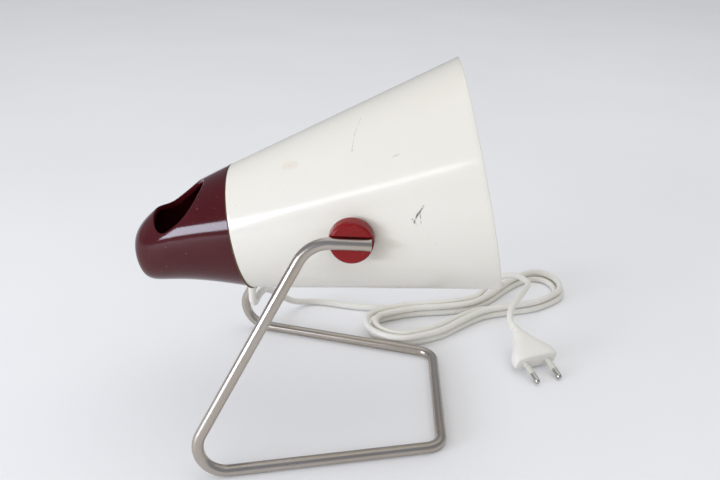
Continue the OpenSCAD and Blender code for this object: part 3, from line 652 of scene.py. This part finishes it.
def porcelain(name):
    mat, n = material(name)
    tone = n.ramp(n.noise(26, 4), [(0.3, (0.80, 0.78, 0.72)), (0.8, (0.72, 0.68, 0.60))])
    n.link(tone, "Base Color")
    n.link(n.ramp(n.noise(120, 3), [(0.3, 0.12), (0.7, 0.26)]), "Roughness")
    n.set("Coat Weight", 0.6)
    n.set("Coat Roughness", 0.05)
    n.link(n.bump(n.noise(150, 3), 0.06, 0.0004), "Normal")
    return mat


def surface_point(px, py):
    """Where the camera's ray through a pixel of the frame meets the shade."""
    cam = bpy.context.scene.camera.matrix_world
    d = cam.to_3x3() @ Vector(
        (px - FRAME_W / 2, FRAME_H / 2 - py, -FOCAL_PX)).normalized()
    c, s = math.cos(HEAD_TILT), math.sin(HEAD_TILT)
    o = cam.translation / MM - Vector((-ORIGIN_X, 0, PIVOT_H))
    o = Vector((o.x * c + o.z * s, o.y, o.z * c - o.x * s))
    d = Vector((d.x * c + d.z * s, d.y, d.z * c - d.x * s))
    a = JOINT_R + SLOPE * JOINT_TO_PIVOT
    k = a + SLOPE * o.x
    qa = d.y ** 2 + d.z ** 2 - (SLOPE * d.x) ** 2
    qb = 2 * (o.y * d.y + o.z * d.z - SLOPE * d.x * k)
    qc = o.y ** 2 + o.z ** 2 - k * k
    t = (-qb - math.sqrt(max(qb * qb - 4 * qa * qc, 0))) / (2 * qa)
    return head(o + d * t) * MM


def shade_marks():
    """The marks with their ends placed on the shade's near side."""
    return [(surface_point(*a), surface_point(*b), width, soft, strength, stain)
            for a, b, width, soft, strength, stain in MARKS.values()]


def make_materials():
    m = {}
    m["shade_cream"] = enamel("shade_cream", (0.80, 0.768, 0.685), (0.775, 0.73, 0.62),
                              shade_marks())
    m["shade_inside"] = enamel("shade_inside", (0.78, 0.75, 0.68), (0.62, 0.52, 0.38))
    m["cap_burgundy"] = moulded("cap_burgundy", (0.072, 0.0065, 0.0085), (0.055, 0.004, 0.006),
                                (0.07, 0.12), 0.03, 0.0, shine=0.34)
    m["knob_red"] = moulded("knob_red", (0.25, 0.0060, 0.0075), (0.215, 0.005, 0.006),
                            (0.18, 0.26), 0.05, 0.0, (0.6, 0.35, 0.3), 0.32)
    m["wire_nickel"] = plated_wire("wire_nickel")
    m["steel_zinc"] = metal("steel_zinc", (0.62, 0.61, 0.58), (0.42, 0.38, 0.32),
                            (0.28, 0.42))
    m["spring_steel"] = metal("spring_steel", (0.36, 0.35, 0.33), (0.2, 0.17, 0.13),
                              (0.25, 0.4))
    m["pin_nickel"] = metal("pin_nickel", (0.66, 0.64, 0.60), (0.42, 0.37, 0.3),
                            (0.12, 0.26), 0.25)
    m["brass"] = metal("brass", (0.72, 0.50, 0.20), (0.42, 0.27, 0.11), (0.2, 0.36))
    m["glass_silvered"] = metal("glass_silvered", (0.80, 0.79, 0.77), (0.62, 0.6, 0.56),
                                (0.05, 0.12), 0.15)
    m["tungsten"] = metal("tungsten", (0.30, 0.29, 0.27), (0.16, 0.15, 0.13), (0.4, 0.55))
    m["washer_fibre"] = moulded("washer_fibre", (0.055, 0.035, 0.024), (0.035, 0.024, 0.018),
                                (0.6, 0.8), 0.3, 0.0)
    m["bush_grey"] = moulded("bush_grey", (0.42, 0.39, 0.33), (0.34, 0.31, 0.26),
                             (0.4, 0.55), 0.1, 0.0)
    m["ring_brown"] = moulded("ring_brown", (0.16, 0.075, 0.025), (0.10, 0.045, 0.016),
                              (0.4, 0.55), 0.1, 0.0)
    m["glass_black"] = moulded("glass_black", (0.02, 0.02, 0.022), (0.012, 0.012, 0.013),
                               (0.1, 0.2), 0.05, 0.2)
    m["cord_ivory"] = soft_vinyl("cord_ivory", (0.87, 0.85, 0.785), (0.74, 0.715, 0.63))
    m["plug_ivory"] = soft_vinyl("plug_ivory", (0.88, 0.86, 0.80), (0.78, 0.755, 0.67))
    m["sleeve_ivory"] = soft_vinyl("sleeve_ivory", (0.66, 0.64, 0.56), (0.5, 0.47, 0.38))
    m["gland_beige"] = soft_vinyl("gland_beige", (0.72, 0.68, 0.54), (0.58, 0.53, 0.4))
    m["clamp_ivory"] = soft_vinyl("clamp_ivory", (0.66, 0.64, 0.57), (0.55, 0.52, 0.44))
    m["porcelain"] = porcelain("porcelain")
    m["glass_red"] = lens_glass("glass_red")
    return m


def paint(obj, mat):
    obj.data.materials.clear()
    obj.data.materials.append(mat)
    return obj


# ---------------------------------------------------------------- cord
def unit(v):
    return Vector(v).normalized()


def smooth_step(t):
    c = min(max(t, 0.0), 1.0)
    return c * c * (3 - 2 * c)


def hank_off(k):
    last = HANK_TURNS * HANK_STEPS
    return HANK_STEP * (k if k < last / 2 else last - k) / HANK_STEPS


def hank_loop(m, r):
    run = HANK_HALF - HANK_FOLD
    if m <= 3:
        return run * m / 3, r
    if m <= 9:
        a = math.radians((m - 3) * 30)
        return run + r * math.sin(a), r * math.cos(a)
    if m <= 15:
        return run * (12 - m) / 3, -r
    if m <= 21:
        a = math.radians((m - 15) * 30)
        return -run - r * math.sin(a), -r * math.cos(a)
    return run * (m - 24) / 3, r


def hank_shaped(x, y):
    if abs(x) < 60 and y:
        pull = HANK_WAIST * (1 + math.cos(math.pi * x / 60)) / 2
        y -= math.copysign(pull, y)
    t = x / HANK_HALF
    return x, y - HANK_BOW * (1 - t * t) + (HANK_SWING * t * t if t > 0 else 0)


def on_hank(x, y, z):
    c, s = math.cos(HANK_DIR), math.sin(HANK_DIR)
    return Vector((HANK_CENTRE[0] + x * c - y * s, HANK_CENTRE[1] + x * s + y * c, z))


def hank_at(k):
    m = k - math.floor(k / HANK_STEPS) * HANK_STEPS
    z = CORD_D / 2 + HANK_RISE * smooth_step((k - HANK_TURNS * HANK_STEPS / 2) / 5 + 0.5)
    return on_hank(*hank_shaped(*hank_loop(m, HANK_FOLD - hank_off(k))), z)


def plug_axes():
    d = Vector((math.cos(PLUG_TILT) * math.cos(PLUG_HEADING),
                math.cos(PLUG_TILT) * math.sin(PLUG_HEADING), -math.sin(PLUG_TILT)))
    side = Vector((-math.sin(PLUG_HEADING), math.cos(PLUG_HEADING), 0))
    face = Vector((*PIN_TIP, PIN_R * math.cos(PLUG_TILT))) - d * PIN_LEN
    return face, d, side, d.cross(side)


def cord_route():
    """The cord's middle line from the gland to the plug, in the row frame."""
    last = HANK_TURNS * HANK_STEPS
    body = [hank_at(k) for k in range(HANK_FIRST, last + 1)]
    way_in = unit(hank_at(HANK_FIRST + 1) - hank_at(HANK_FIRST - 1))
    way_out = unit(hank_at(last + 1) - hank_at(last - 1))
    start, end = body[0] - way_in * CORD_D, body[-1] + way_out * CORD_D
    face, d, _, _ = plug_axes()
    rear = face - d * (PLUG_LEN + PLUG_TAIL)
    lead = catmull([Vector(p) for p in LEAD_SHAPE], 3) + [start - way_in * CORD_D]
    tail = catmull([end + way_out * CORD_D] + [on_hank(*p) for p in TAIL_ALONG_HANK]
                   + [Vector(TAIL_LAST), rear - d * CORD_D], 3)
    hank = catmull([start] + body + [end], 3)
    return [row(p) for p in lead + hank + tail + [rear]]


def make_cord(mats):
    path = cord_route()
    obj = sweep("cord_run", path, CORD_D / 2, 16, up=Vector((1, 0, 0)))
    paint(obj, mats["cord_ivory"])
    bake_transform(obj)
    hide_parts("cord_lead", "cord_hank", "cord_tail")
    length = sum((b - a).length for a, b in zip(path, path[1:])) * MM
    return obj


# ---------------------------------------------------------------- plug
def super_ring(centre, u, v, a, b, power, sides):
    out = []
    for k in range(sides):
        t = TAU * k / sides
        c, s = math.cos(t), math.sin(t)
        x = math.copysign(abs(c) ** (2 / power), c) * a
        y = math.copysign(abs(s) ** (2 / power), s) * b
        out.append(centre + u * x + v * y)
    return out


def make_plug(mats):
    face, d, side, up = plug_axes()
    half_w, half_t = PLUG_W / 2, PLUG_T / 2
    # distance behind the pin face, half width, half thickness, squareness
    stations = [
        (0.0, 16.2, 5.6, 3.9), (0.15, 16.8, 6.2, 3.9), (0.6, 17.2, 6.6, 3.9),
        (1.4, half_w, half_t, 3.9), (3.5, half_w, half_t, 3.9), (6.0, 17.3, 6.8, 3.7),
        (8.5, 16.5, 6.6, 3.5), (11.5, 14.6, 6.3, 3.3), (15.0, 11.9, 5.9, 3.4),
        (18.5, 9.6, 5.5, 3.0), (22.0, 7.8, 5.1, 2.7), (25.5, 6.3, 4.7, 2.4),
        (27.2, 5.6, 4.5, 2.2), (27.6, 4.7, 4.3, 2.0), (28.0, 4.3, 4.2, 2.0),
        (30.0, 4.0, 4.0, 2.0), (30.3, 3.6, 3.6, 2.0), (31.3, 3.6, 3.6, 2.0),
        (31.6, 3.9, 3.9, 2.0), (32.8, 3.7, 3.7, 2.0), (33.1, 3.35, 3.35, 2.0),
        (33.9, 3.3, 3.3, 2.0), (34.2, 3.5, 3.5, 2.0), (34.8, 3.3, 3.3, 2.0),
        (35.0, 2.9, 2.9, 2.0),
    ]
    sides = 64
    verts = []
    for back, a, b, power in stations:
        verts += super_ring(row(face - d * back), side, up, a, b, power, sides)
    faces = grid_faces(len(stations), sides)
    faces.append(tuple(reversed(range(sides))))
    faces.append(tuple((len(stations) - 1) * sides + k for k in range(sides)))
    body = tidy_mesh(add_mesh("plug_shell", verts, faces))
    sharpen(body, 40)
    paint(body, mats["plug_ivory"])
    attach(body, "stand")
    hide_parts("plug_body")

    tips = []
    for s in (-1, 1):
        def place(p, s=s):
            centre = row(face + side * (s * PIN_GAP / 2))
            return centre + d * p[0] + side * p[1] + up * p[2]
        tips.append(lathe([(0, 1.5), (SLEEVE_LEN - 0.1, 1.5), (SLEEVE_LEN, 2.0),
                           (PIN_LEN - 2.4, 2.0), (PIN_LEN - 1.2, 1.75),
                           (PIN_LEN - 0.45, 1.2), (PIN_LEN - 0.1, 0.55), (PIN_LEN, 0.0)],
                          place, 32, "tip"))
    join_into("plug_tips", tips)
    obj = bpy.data.objects["plug_tips"]
    sharpen(obj, 50)
    paint(obj, mats["pin_nickel"])
    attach(obj, "stand")
    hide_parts("plug_pins")


def join_into(name, objs):
    """Makes one object of several meshes."""
    bm = bmesh.new()
    for obj in objs:
        bm.from_mesh(obj.data)
    mesh = bpy.data.meshes.new(name)
    bm.to_mesh(mesh)
    bm.free()
    for obj in objs:
        bpy.data.objects.remove(obj)
    made = bpy.data.objects.new(name, mesh)
    bpy.context.scene.collection.objects.link(made)
    for poly in mesh.polygons:
        poly.use_smooth = True
    return made


# ---------------------------------------------------------------- wire stand
def wire_path():
    pts = [Vector(p) for p in WIRE_CORNERS]
    out = [pts[0]]
    for p, q, s, r in zip(pts, pts[1:], pts[2:], WIRE_BENDS[1:]):
        u, v = (q - p).normalized(), (s - q).normalized()
        ang = u.angle(v)
        side = (v - u * v.dot(u)).normalized()
        start = q - u * r * math.tan(ang / 2)
        steps = max(int(math.degrees(ang) / 5), 6)
        for i in range(steps + 1):
            a = ang * i / steps
            out.append(start + u * (r * math.sin(a)) + side * (r * (1 - math.cos(a))))
    out.append(pts[-1])
    return [row(p) for p in out]


def make_wire(mats):
    obj = sweep("wire_frame", wire_path(), WIRE_R, 32, round_end=0.5)
    paint(obj, mats["wire_nickel"])
    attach(obj, "stand")
    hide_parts("stand_wire")


# ---------------------------------------------------------------- knobs
def make_knob(mats, s, name):
    """A turned knob with a slot that the wire's end lies in."""
    def place(p):
        return head((p[1], s * (KNOB_BASE_Y + p[0]), p[2]))
    profile = [
        (0.0, 0.0), (0.0, KNOB_BASE_R - 0.5), (0.5, KNOB_BASE_R), (1.2, KNOB_BASE_R - 0.02),
        (KNOB_H - 1.5, KNOB_FACE_R + 0.45), (KNOB_H - 0.7, KNOB_FACE_R + 0.15),
        (KNOB_H - 0.2, KNOB_FACE_R - 0.4), (KNOB_H, KNOB_FACE_R - 0.95),
        (KNOB_H, KNOB_FACE_R - 1.15), (KNOB_H, 0.0),
    ]
    knob = lathe(profile, place, 96, name)
    slot = box_tool((-20, STAND_Y - WIRE_R - SEAT, -WIRE_R - SLOT_UNDER),
                    (20, STAND_Y + 4, WIRE_R + SLOT_OVER), s)
    bore = lathe([(-1, STUD_R + SEAT), (KNOB_H - 1, STUD_R + SEAT)], place, 32, "bore")
    cut(knob, slot, bore)
    sharpen(knob, 30)
    paint(knob, mats["knob_red"])
    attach(knob, "stand")
    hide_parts(name.replace("grip_", "knob_"))


def box_tool(low, high, s):
    """A box lined up with the row frame about the pivot, mirrored for the right side."""
    verts = []
    for x in (low[0], high[0]):
        for y in (low[1], high[1]):
            for z in (low[2], high[2]):
                verts.append((x - ORIGIN_X, s * y, z + PIVOT_H))
    return tidy_mesh(add_mesh("tool", verts, BOX_FACES, smooth=False))


# ---------------------------------------------------------------- shade
def cone_r(x):
    return JOINT_R + SLOPE * (x + JOINT_TO_PIVOT)


def lean_x(x, lean, z):
    return x + math.tan(lean) * z


def shade_point(t, a, off):
    """t from 0 at the joint to 1 at the mouth, a round the axis from the top."""
    x = lerp(-JOINT_TO_PIVOT, MOUTH_X, t)
    for _ in range(3):
        z = (cone_r(x) + off) * math.cos(a)
        x = lerp(lean_x(-JOINT_TO_PIVOT, JOINT_LEAN, z), lean_x(MOUTH_X, MOUTH_LEAN, z), t)
    r = cone_r(x) + off
    return x, r * math.sin(a), r * math.cos(a)


def make_shade(mats):
    """The sheet cone: rounded edges at both ends and a hole for each pivot."""
    sides, rows = 288, 76
    edge = 0.35 / SHADE_LEN
    lines = [(0.0, -SHADE_T + 0.3), (0.0, -0.3), (edge * 0.3, -0.09), (edge, 0.0)]
    lines += [(lerp(edge, 1 - edge, i / rows), 0.0) for i in range(1, rows)]
    lines += [(1 - edge, 0.0), (1 - edge * 0.3, -0.1), (1.0, -0.35)]
    lines += [(1.0, -SHADE_T + 0.35), (1 - edge * 0.3, -SHADE_T + 0.1), (1 - edge, -SHADE_T)]
    lines += [(lerp(1 - edge, edge, i / rows), -SHADE_T) for i in range(1, rows + 1)]
    verts = []
    for t, off in lines:
        for k in range(sides):
            verts.append(shade_point(t, TAU * k / sides, off))
    faces = grid_faces(len(lines) + 1, sides)
    total = len(lines) * sides
    faces = [tuple(i % total for i in f) for f in faces]
    kept = []
    for f in faces:
        x = sum(verts[i][0] for i in f) / 4
        z = sum(verts[i][2] for i in f) / 4
        if math.hypot(x, z) > PIVOT_HOLE_R:
            kept.append(f)
    obj = add_mesh("shade_shell", [head(v) for v in verts], kept)
    tidy_mesh(obj)
    sharpen(obj, 60)
    paint(obj, mats["shade_cream"])
    obj.data.materials.append(mats["shade_inside"])
    for poly in obj.data.polygons:
        c = obj.data.vertices[poly.vertices[0]].co / MM - Vector((-ORIGIN_X, 0, PIVOT_H))
        co, si = math.cos(HEAD_TILT), math.sin(HEAD_TILT)
        x, z = c.x * co + c.z * si, c.z * co - c.x * si
        if math.hypot(c.y, z) < cone_r(x) - SHADE_T + 0.12:
            poly.material_index = 1
    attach(obj, "head")
    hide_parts("shade")


# ---------------------------------------------------------------- rear cap
def cap_mid(b):
    return (CAP_RISE - CAP_FALL) / 2 * b - NOSE_DROOP * (max(b, 0) / CAP_LEN) ** 3


def cap_r(b, w):
    share = min(max(b, 0) / (CAP_LEN - w), 1.0)
    return (JOINT_R - w - CAP_MEAN * b) * max(1 - share ** NOSE_SHARP, 0.0) ** (1 / NOSE_ROUND)


def cap_turned(p):
    """The cap's own axes to the head's: a small turn about the lamp's axis."""
    c, s = math.cos(CAP_TURN), math.sin(CAP_TURN)
    return p[0], p[1] * c - p[2] * s, p[1] * s + p[2] * c


def cap_point(a, v, w):
    """On the cap's skin: a round from the left side, v the distance behind the rim."""
    z_rim = (JOINT_R - w) * math.sin(a + CAP_TURN)
    start = RING_T - z_rim * math.tan(JOINT_LEAN)
    b = v + start * max(0.0, 1 - v / 10)
    r = cap_r(b, w)
    return -JOINT_TO_PIVOT - b, r * math.cos(a), cap_mid(b) + r * math.sin(a)


def grip_outline(count, grow=0.0):
    """The grip hole in plan: distance behind the joint and sideways, once round."""
    front = GRIP_FRONT * GRIP_LEN
    back = GRIP_LEN - front
    side = []
    half = count // 2
    for i in range(half + 1):
        ang = math.pi * i / half
        if ang <= math.pi / 2:
            t = math.cos(ang)
            w = (1 - t ** 2.6) ** (1 / 1.6) if t < 1 else 0.0
            side.append((GRIP_START + front - front * t, GRIP_HALF * w))
        else:
            t = -math.cos(ang)
            w = (1 - min(t, 1.0) ** 3) ** (1 / 3) if t < 1 else 0.0
            side.append((GRIP_START + front + back * t, GRIP_HALF * w))
    loop = side + [(b, -y) for b, y in side[-2:0:-1]]
    loop = even_loop(loop, count)
    if grow:
        loop = grown(loop, grow)
    return loop


def even_loop(loop, count):
    """The same closed line with points at even distances."""
    pts = [Vector((*p, 0)) for p in loop]
    lens = [0.0]
    for a, b in zip(pts, pts[1:] + pts[:1]):
        lens.append(lens[-1] + (b - a).length)
    out, i = [], 0
    for k in range(count):
        want = lens[-1] * k / count
        while lens[i + 1] < want:
            i += 1
        t = (want - lens[i]) / max(lens[i + 1] - lens[i], 1e-9)
        p = pts[i].lerp(pts[(i + 1) % len(pts)], t)
        out.append((p.x, p.y))
    return out


def grown(loop, by):
    out = []
    n = len(loop)
    for i in range(n):
        a, b = loop[i - 1], loop[(i + 1) % n]
        tx, ty = b[0] - a[0], b[1] - a[1]
        size = math.hypot(tx, ty) or 1.0
        out.append((loop[i][0] + ty / size * by, loop[i][1] - tx / size * by))
    centre = sum(p[0] for p in loop) / n
    first = abs(out[0][0] - centre) < abs(loop[0][0] - centre)
    return grown(loop, -by) if first and by > 0 else out


def plan_to_skin(b, y, w):
    """The skin's parameters above a point of the plan."""
    r = cap_r(b, w)
    a = math.acos(max(-1.0, min(1.0, y / r)))
    return a, b


def skin_with_hole(w, loops, step, v_end):
    """Points and triangles of the skin outside the innermost loop."""
    hole = [plan_to_skin(b, y, w) for b, y in loops[0]]
    pts, fixed = [], []
    for loop in loops:
        base = len(pts)
        for b, y in loop:
            a, v = plan_to_skin(b, y, w)
            pts.append((a * FLAT_R, v))
        fixed += [(base + i, base + (i + 1) % len(loop)) for i in range(len(loop))]
    around = int(TAU * FLAT_R / step)
    rows = int(v_end / step)
    outer = [(a * FLAT_R, v) for a, v in (plan_to_skin(b, y, w) for b, y in loops[-1])]
    for i in range(rows + 1):
        v = v_end * i / rows
        for k in range(around + 1):
            u = (-math.pi / 2 + TAU * k / around) * FLAT_R
            if not near_loop(u, v, outer, step * 0.55):
                pts.append((u, v))
    got = delaunay_2d_cdt([Vector(p) for p in pts], fixed, [], 0, 1e-6)
    verts2, faces = got[0], got[2]
    keep = []
    inside = [(a * FLAT_R, v) for a, v in hole]
    for f in faces:
        u = sum(verts2[i][0] for i in f) / len(f)
        v = sum(verts2[i][1] for i in f) / len(f)
        if not in_loop(u, v, inside):
            keep.append(tuple(f))
    verts3 = [cap_turned(cap_point(p[0] / FLAT_R, p[1], w)) for p in verts2]
    return verts3, keep


def in_loop(u, v, loop):
    hit = False
    for (x0, y0), (x1, y1) in zip(loop, loop[1:] + loop[:1]):
        if (y0 > v) != (y1 > v) and u < (x1 - x0) * (v - y0) / (y1 - y0) + x0:
            hit = not hit
    return hit


def near_loop(u, v, loop, far):
    if in_loop(u, v, loop):
        return True
    return any((u - x) ** 2 + (v - y) ** 2 < far * far for x, y in loop)


def nose_rows(w, v_start, rows, sides):
    """A round grid from v_start to the nose's tip."""
    verts = []
    end = (CAP_LEN - w) * 0.99995
    for i in range(rows + 1):
        v = v_start + (end - v_start) * (1 - (1 - i / rows) ** 2.6)
        for k in range(sides):
            a = -math.pi / 2 + TAU * k / sides
            verts.append(cap_turned(cap_point(a, v, w)))
    faces = grid_faces(rows + 1, sides)
    faces.append(tuple(rows * sides + k for k in range(sides)))
    return verts, faces


def grip_edge(count, lip):
    """The hole's rolled edge and its wall, from the outer skin to the inner one."""
    outer = grip_outline(count, lip)
    plain = grip_outline(count)
    rows = []
    top = Vector((0, 0, 1))
    for t in (0.0, 0.17, 0.34, 0.5, 0.67, 0.84, 1.0):
        ring = []
        for (b1, y1), (b0, y0) in zip(outer, plain):
            p = Vector(cap_point(*plan_to_skin(b1, y1, 0), 0))
            q = Vector(cap_point(*plan_to_skin(b0, y0, 0), 0))
            d = q - top * (lip * 1.3)
            ring.append(p * (1 - t) ** 2 + q * (2 * t * (1 - t)) + d * t * t)
        rows.append(ring)
    ends = [Vector(cap_point(*plan_to_skin(b, y, CAP_WALL), CAP_WALL)) for b, y in plain]
    for t in (0.35, 0.7, 1.0):
        rows.append([a.lerp(e, t) for a, e in zip(rows[6], ends)])
    verts = [cap_turned(p) for ring in rows for p in ring]
    return verts, grid_faces(len(rows), count)


def make_cap(mats):
    count, lip = GRIP_POINTS, GRIP_LIP
    sides = int(TAU * FLAT_R / SKIN_STEP)
    loops = [grip_outline(count, lip), grip_outline(count, lip + 1.0),
             grip_outline(count, lip + 2.2)]
    parts = [skin_with_hole(0, loops, SKIN_STEP, SKIN_END), nose_rows(0, SKIN_END, 34, sides),
             grip_edge(count, lip),
             skin_with_hole(CAP_WALL, [grip_outline(count)], INNER_STEP, INNER_END),
             nose_rows(CAP_WALL, INNER_END, 14, 88)]
    verts, faces = [], []
    for v, f in parts:
        base = len(verts)
        verts += [head(p) for p in v]
        faces += [tuple(i + base for i in face) for face in f]
    shell = tidy_mesh(add_mesh("cap_shell", verts, faces), 0.00003)
    sharpen(shell, 75)
    paint(shell, mats["cap_burgundy"])
    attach(shell, "head")
    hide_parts("rear_cap")
    make_web(mats)


def make_web(mats):
    """The wall inside the cap with its air slots and its two screw posts."""
    x1 = -JOINT_TO_PIVOT - WEB_B
    r = cap_r(WEB_B + WEB_T, CAP_WALL) + 0.6
    mid = cap_mid(WEB_B)

    def place(p):
        return head((p[0], p[1], p[2] + mid))
    web = lathe([(x1 - WEB_T, 0), (x1 - WEB_T, r), (x1, r), (x1, 0)], place, 96, "cap_web")
    tools = []
    for z in WEB_SLOTS:
        verts = [head((x, y, z + dz)) for x in (x1 - WEB_T - 1, x1 + 1)
                 for y in (-SLOT_HALF_W, SLOT_HALF_W) for dz in (-SLOT_HALF_H, SLOT_HALF_H)]
        tools.append(tidy_mesh(add_mesh("slot", verts, BOX_FACES, smooth=False)))
    for s in (-1, 1):
        tools.append(lathe([(x1 - 4, SCREW_BORE_R), (x1 + 4, SCREW_BORE_R)],
                           lambda p, s=s: head((p[0], p[1] + CAP_SCREW_Y * s, p[2])), 24, "bore"))
    cut(web, *tools)
    sharpen(web, 40)
    paint(web, mats["cap_burgundy"])
    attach(web, "head")
    posts = []
    for s in (-1, 1):
        front, back = DISH_BACK - SEAT, x1 - 0.2
        posts.append(lathe([(back, SCREW_BORE_R), (back, POST_R), (front, POST_R),
                            (front, SCREW_BORE_R)],
                           lambda p, s=s: head((p[0], p[1] + CAP_SCREW_Y * s, p[2])), 32, "post"))
    obj = join_into("cap_posts", posts)
    sharpen(obj, 40)
    paint(obj, mats["cap_burgundy"])
    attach(obj, "head")


# ---------------------------------------------------------------- small pieces kept from CAD
def paint_nodes(frame, mats):
    record = frame["record"]
    slots = {s["node"]: s["material_slot"] for s in record["subparts"]}
    for node, obj in frame["nodes"].items():
        if obj.hide_render:
            continue
        mat = mats[slots[node]]
        obj.data.materials.clear()
        obj.data.materials.append(mat)


def main():
    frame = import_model()
    make_camera()
    mats = make_materials()
    make_plug(mats)
    make_cord(mats)
    make_wire(mats)
    make_knob(mats, 1, "grip_left")
    make_knob(mats, -1, "grip_right")
    make_shade(mats)
    make_cap(mats)
    paint_nodes(frame, mats)
    make_floor()
    make_lights()
    bpy.context.scene.view_settings.view_transform = "Standard"


main()
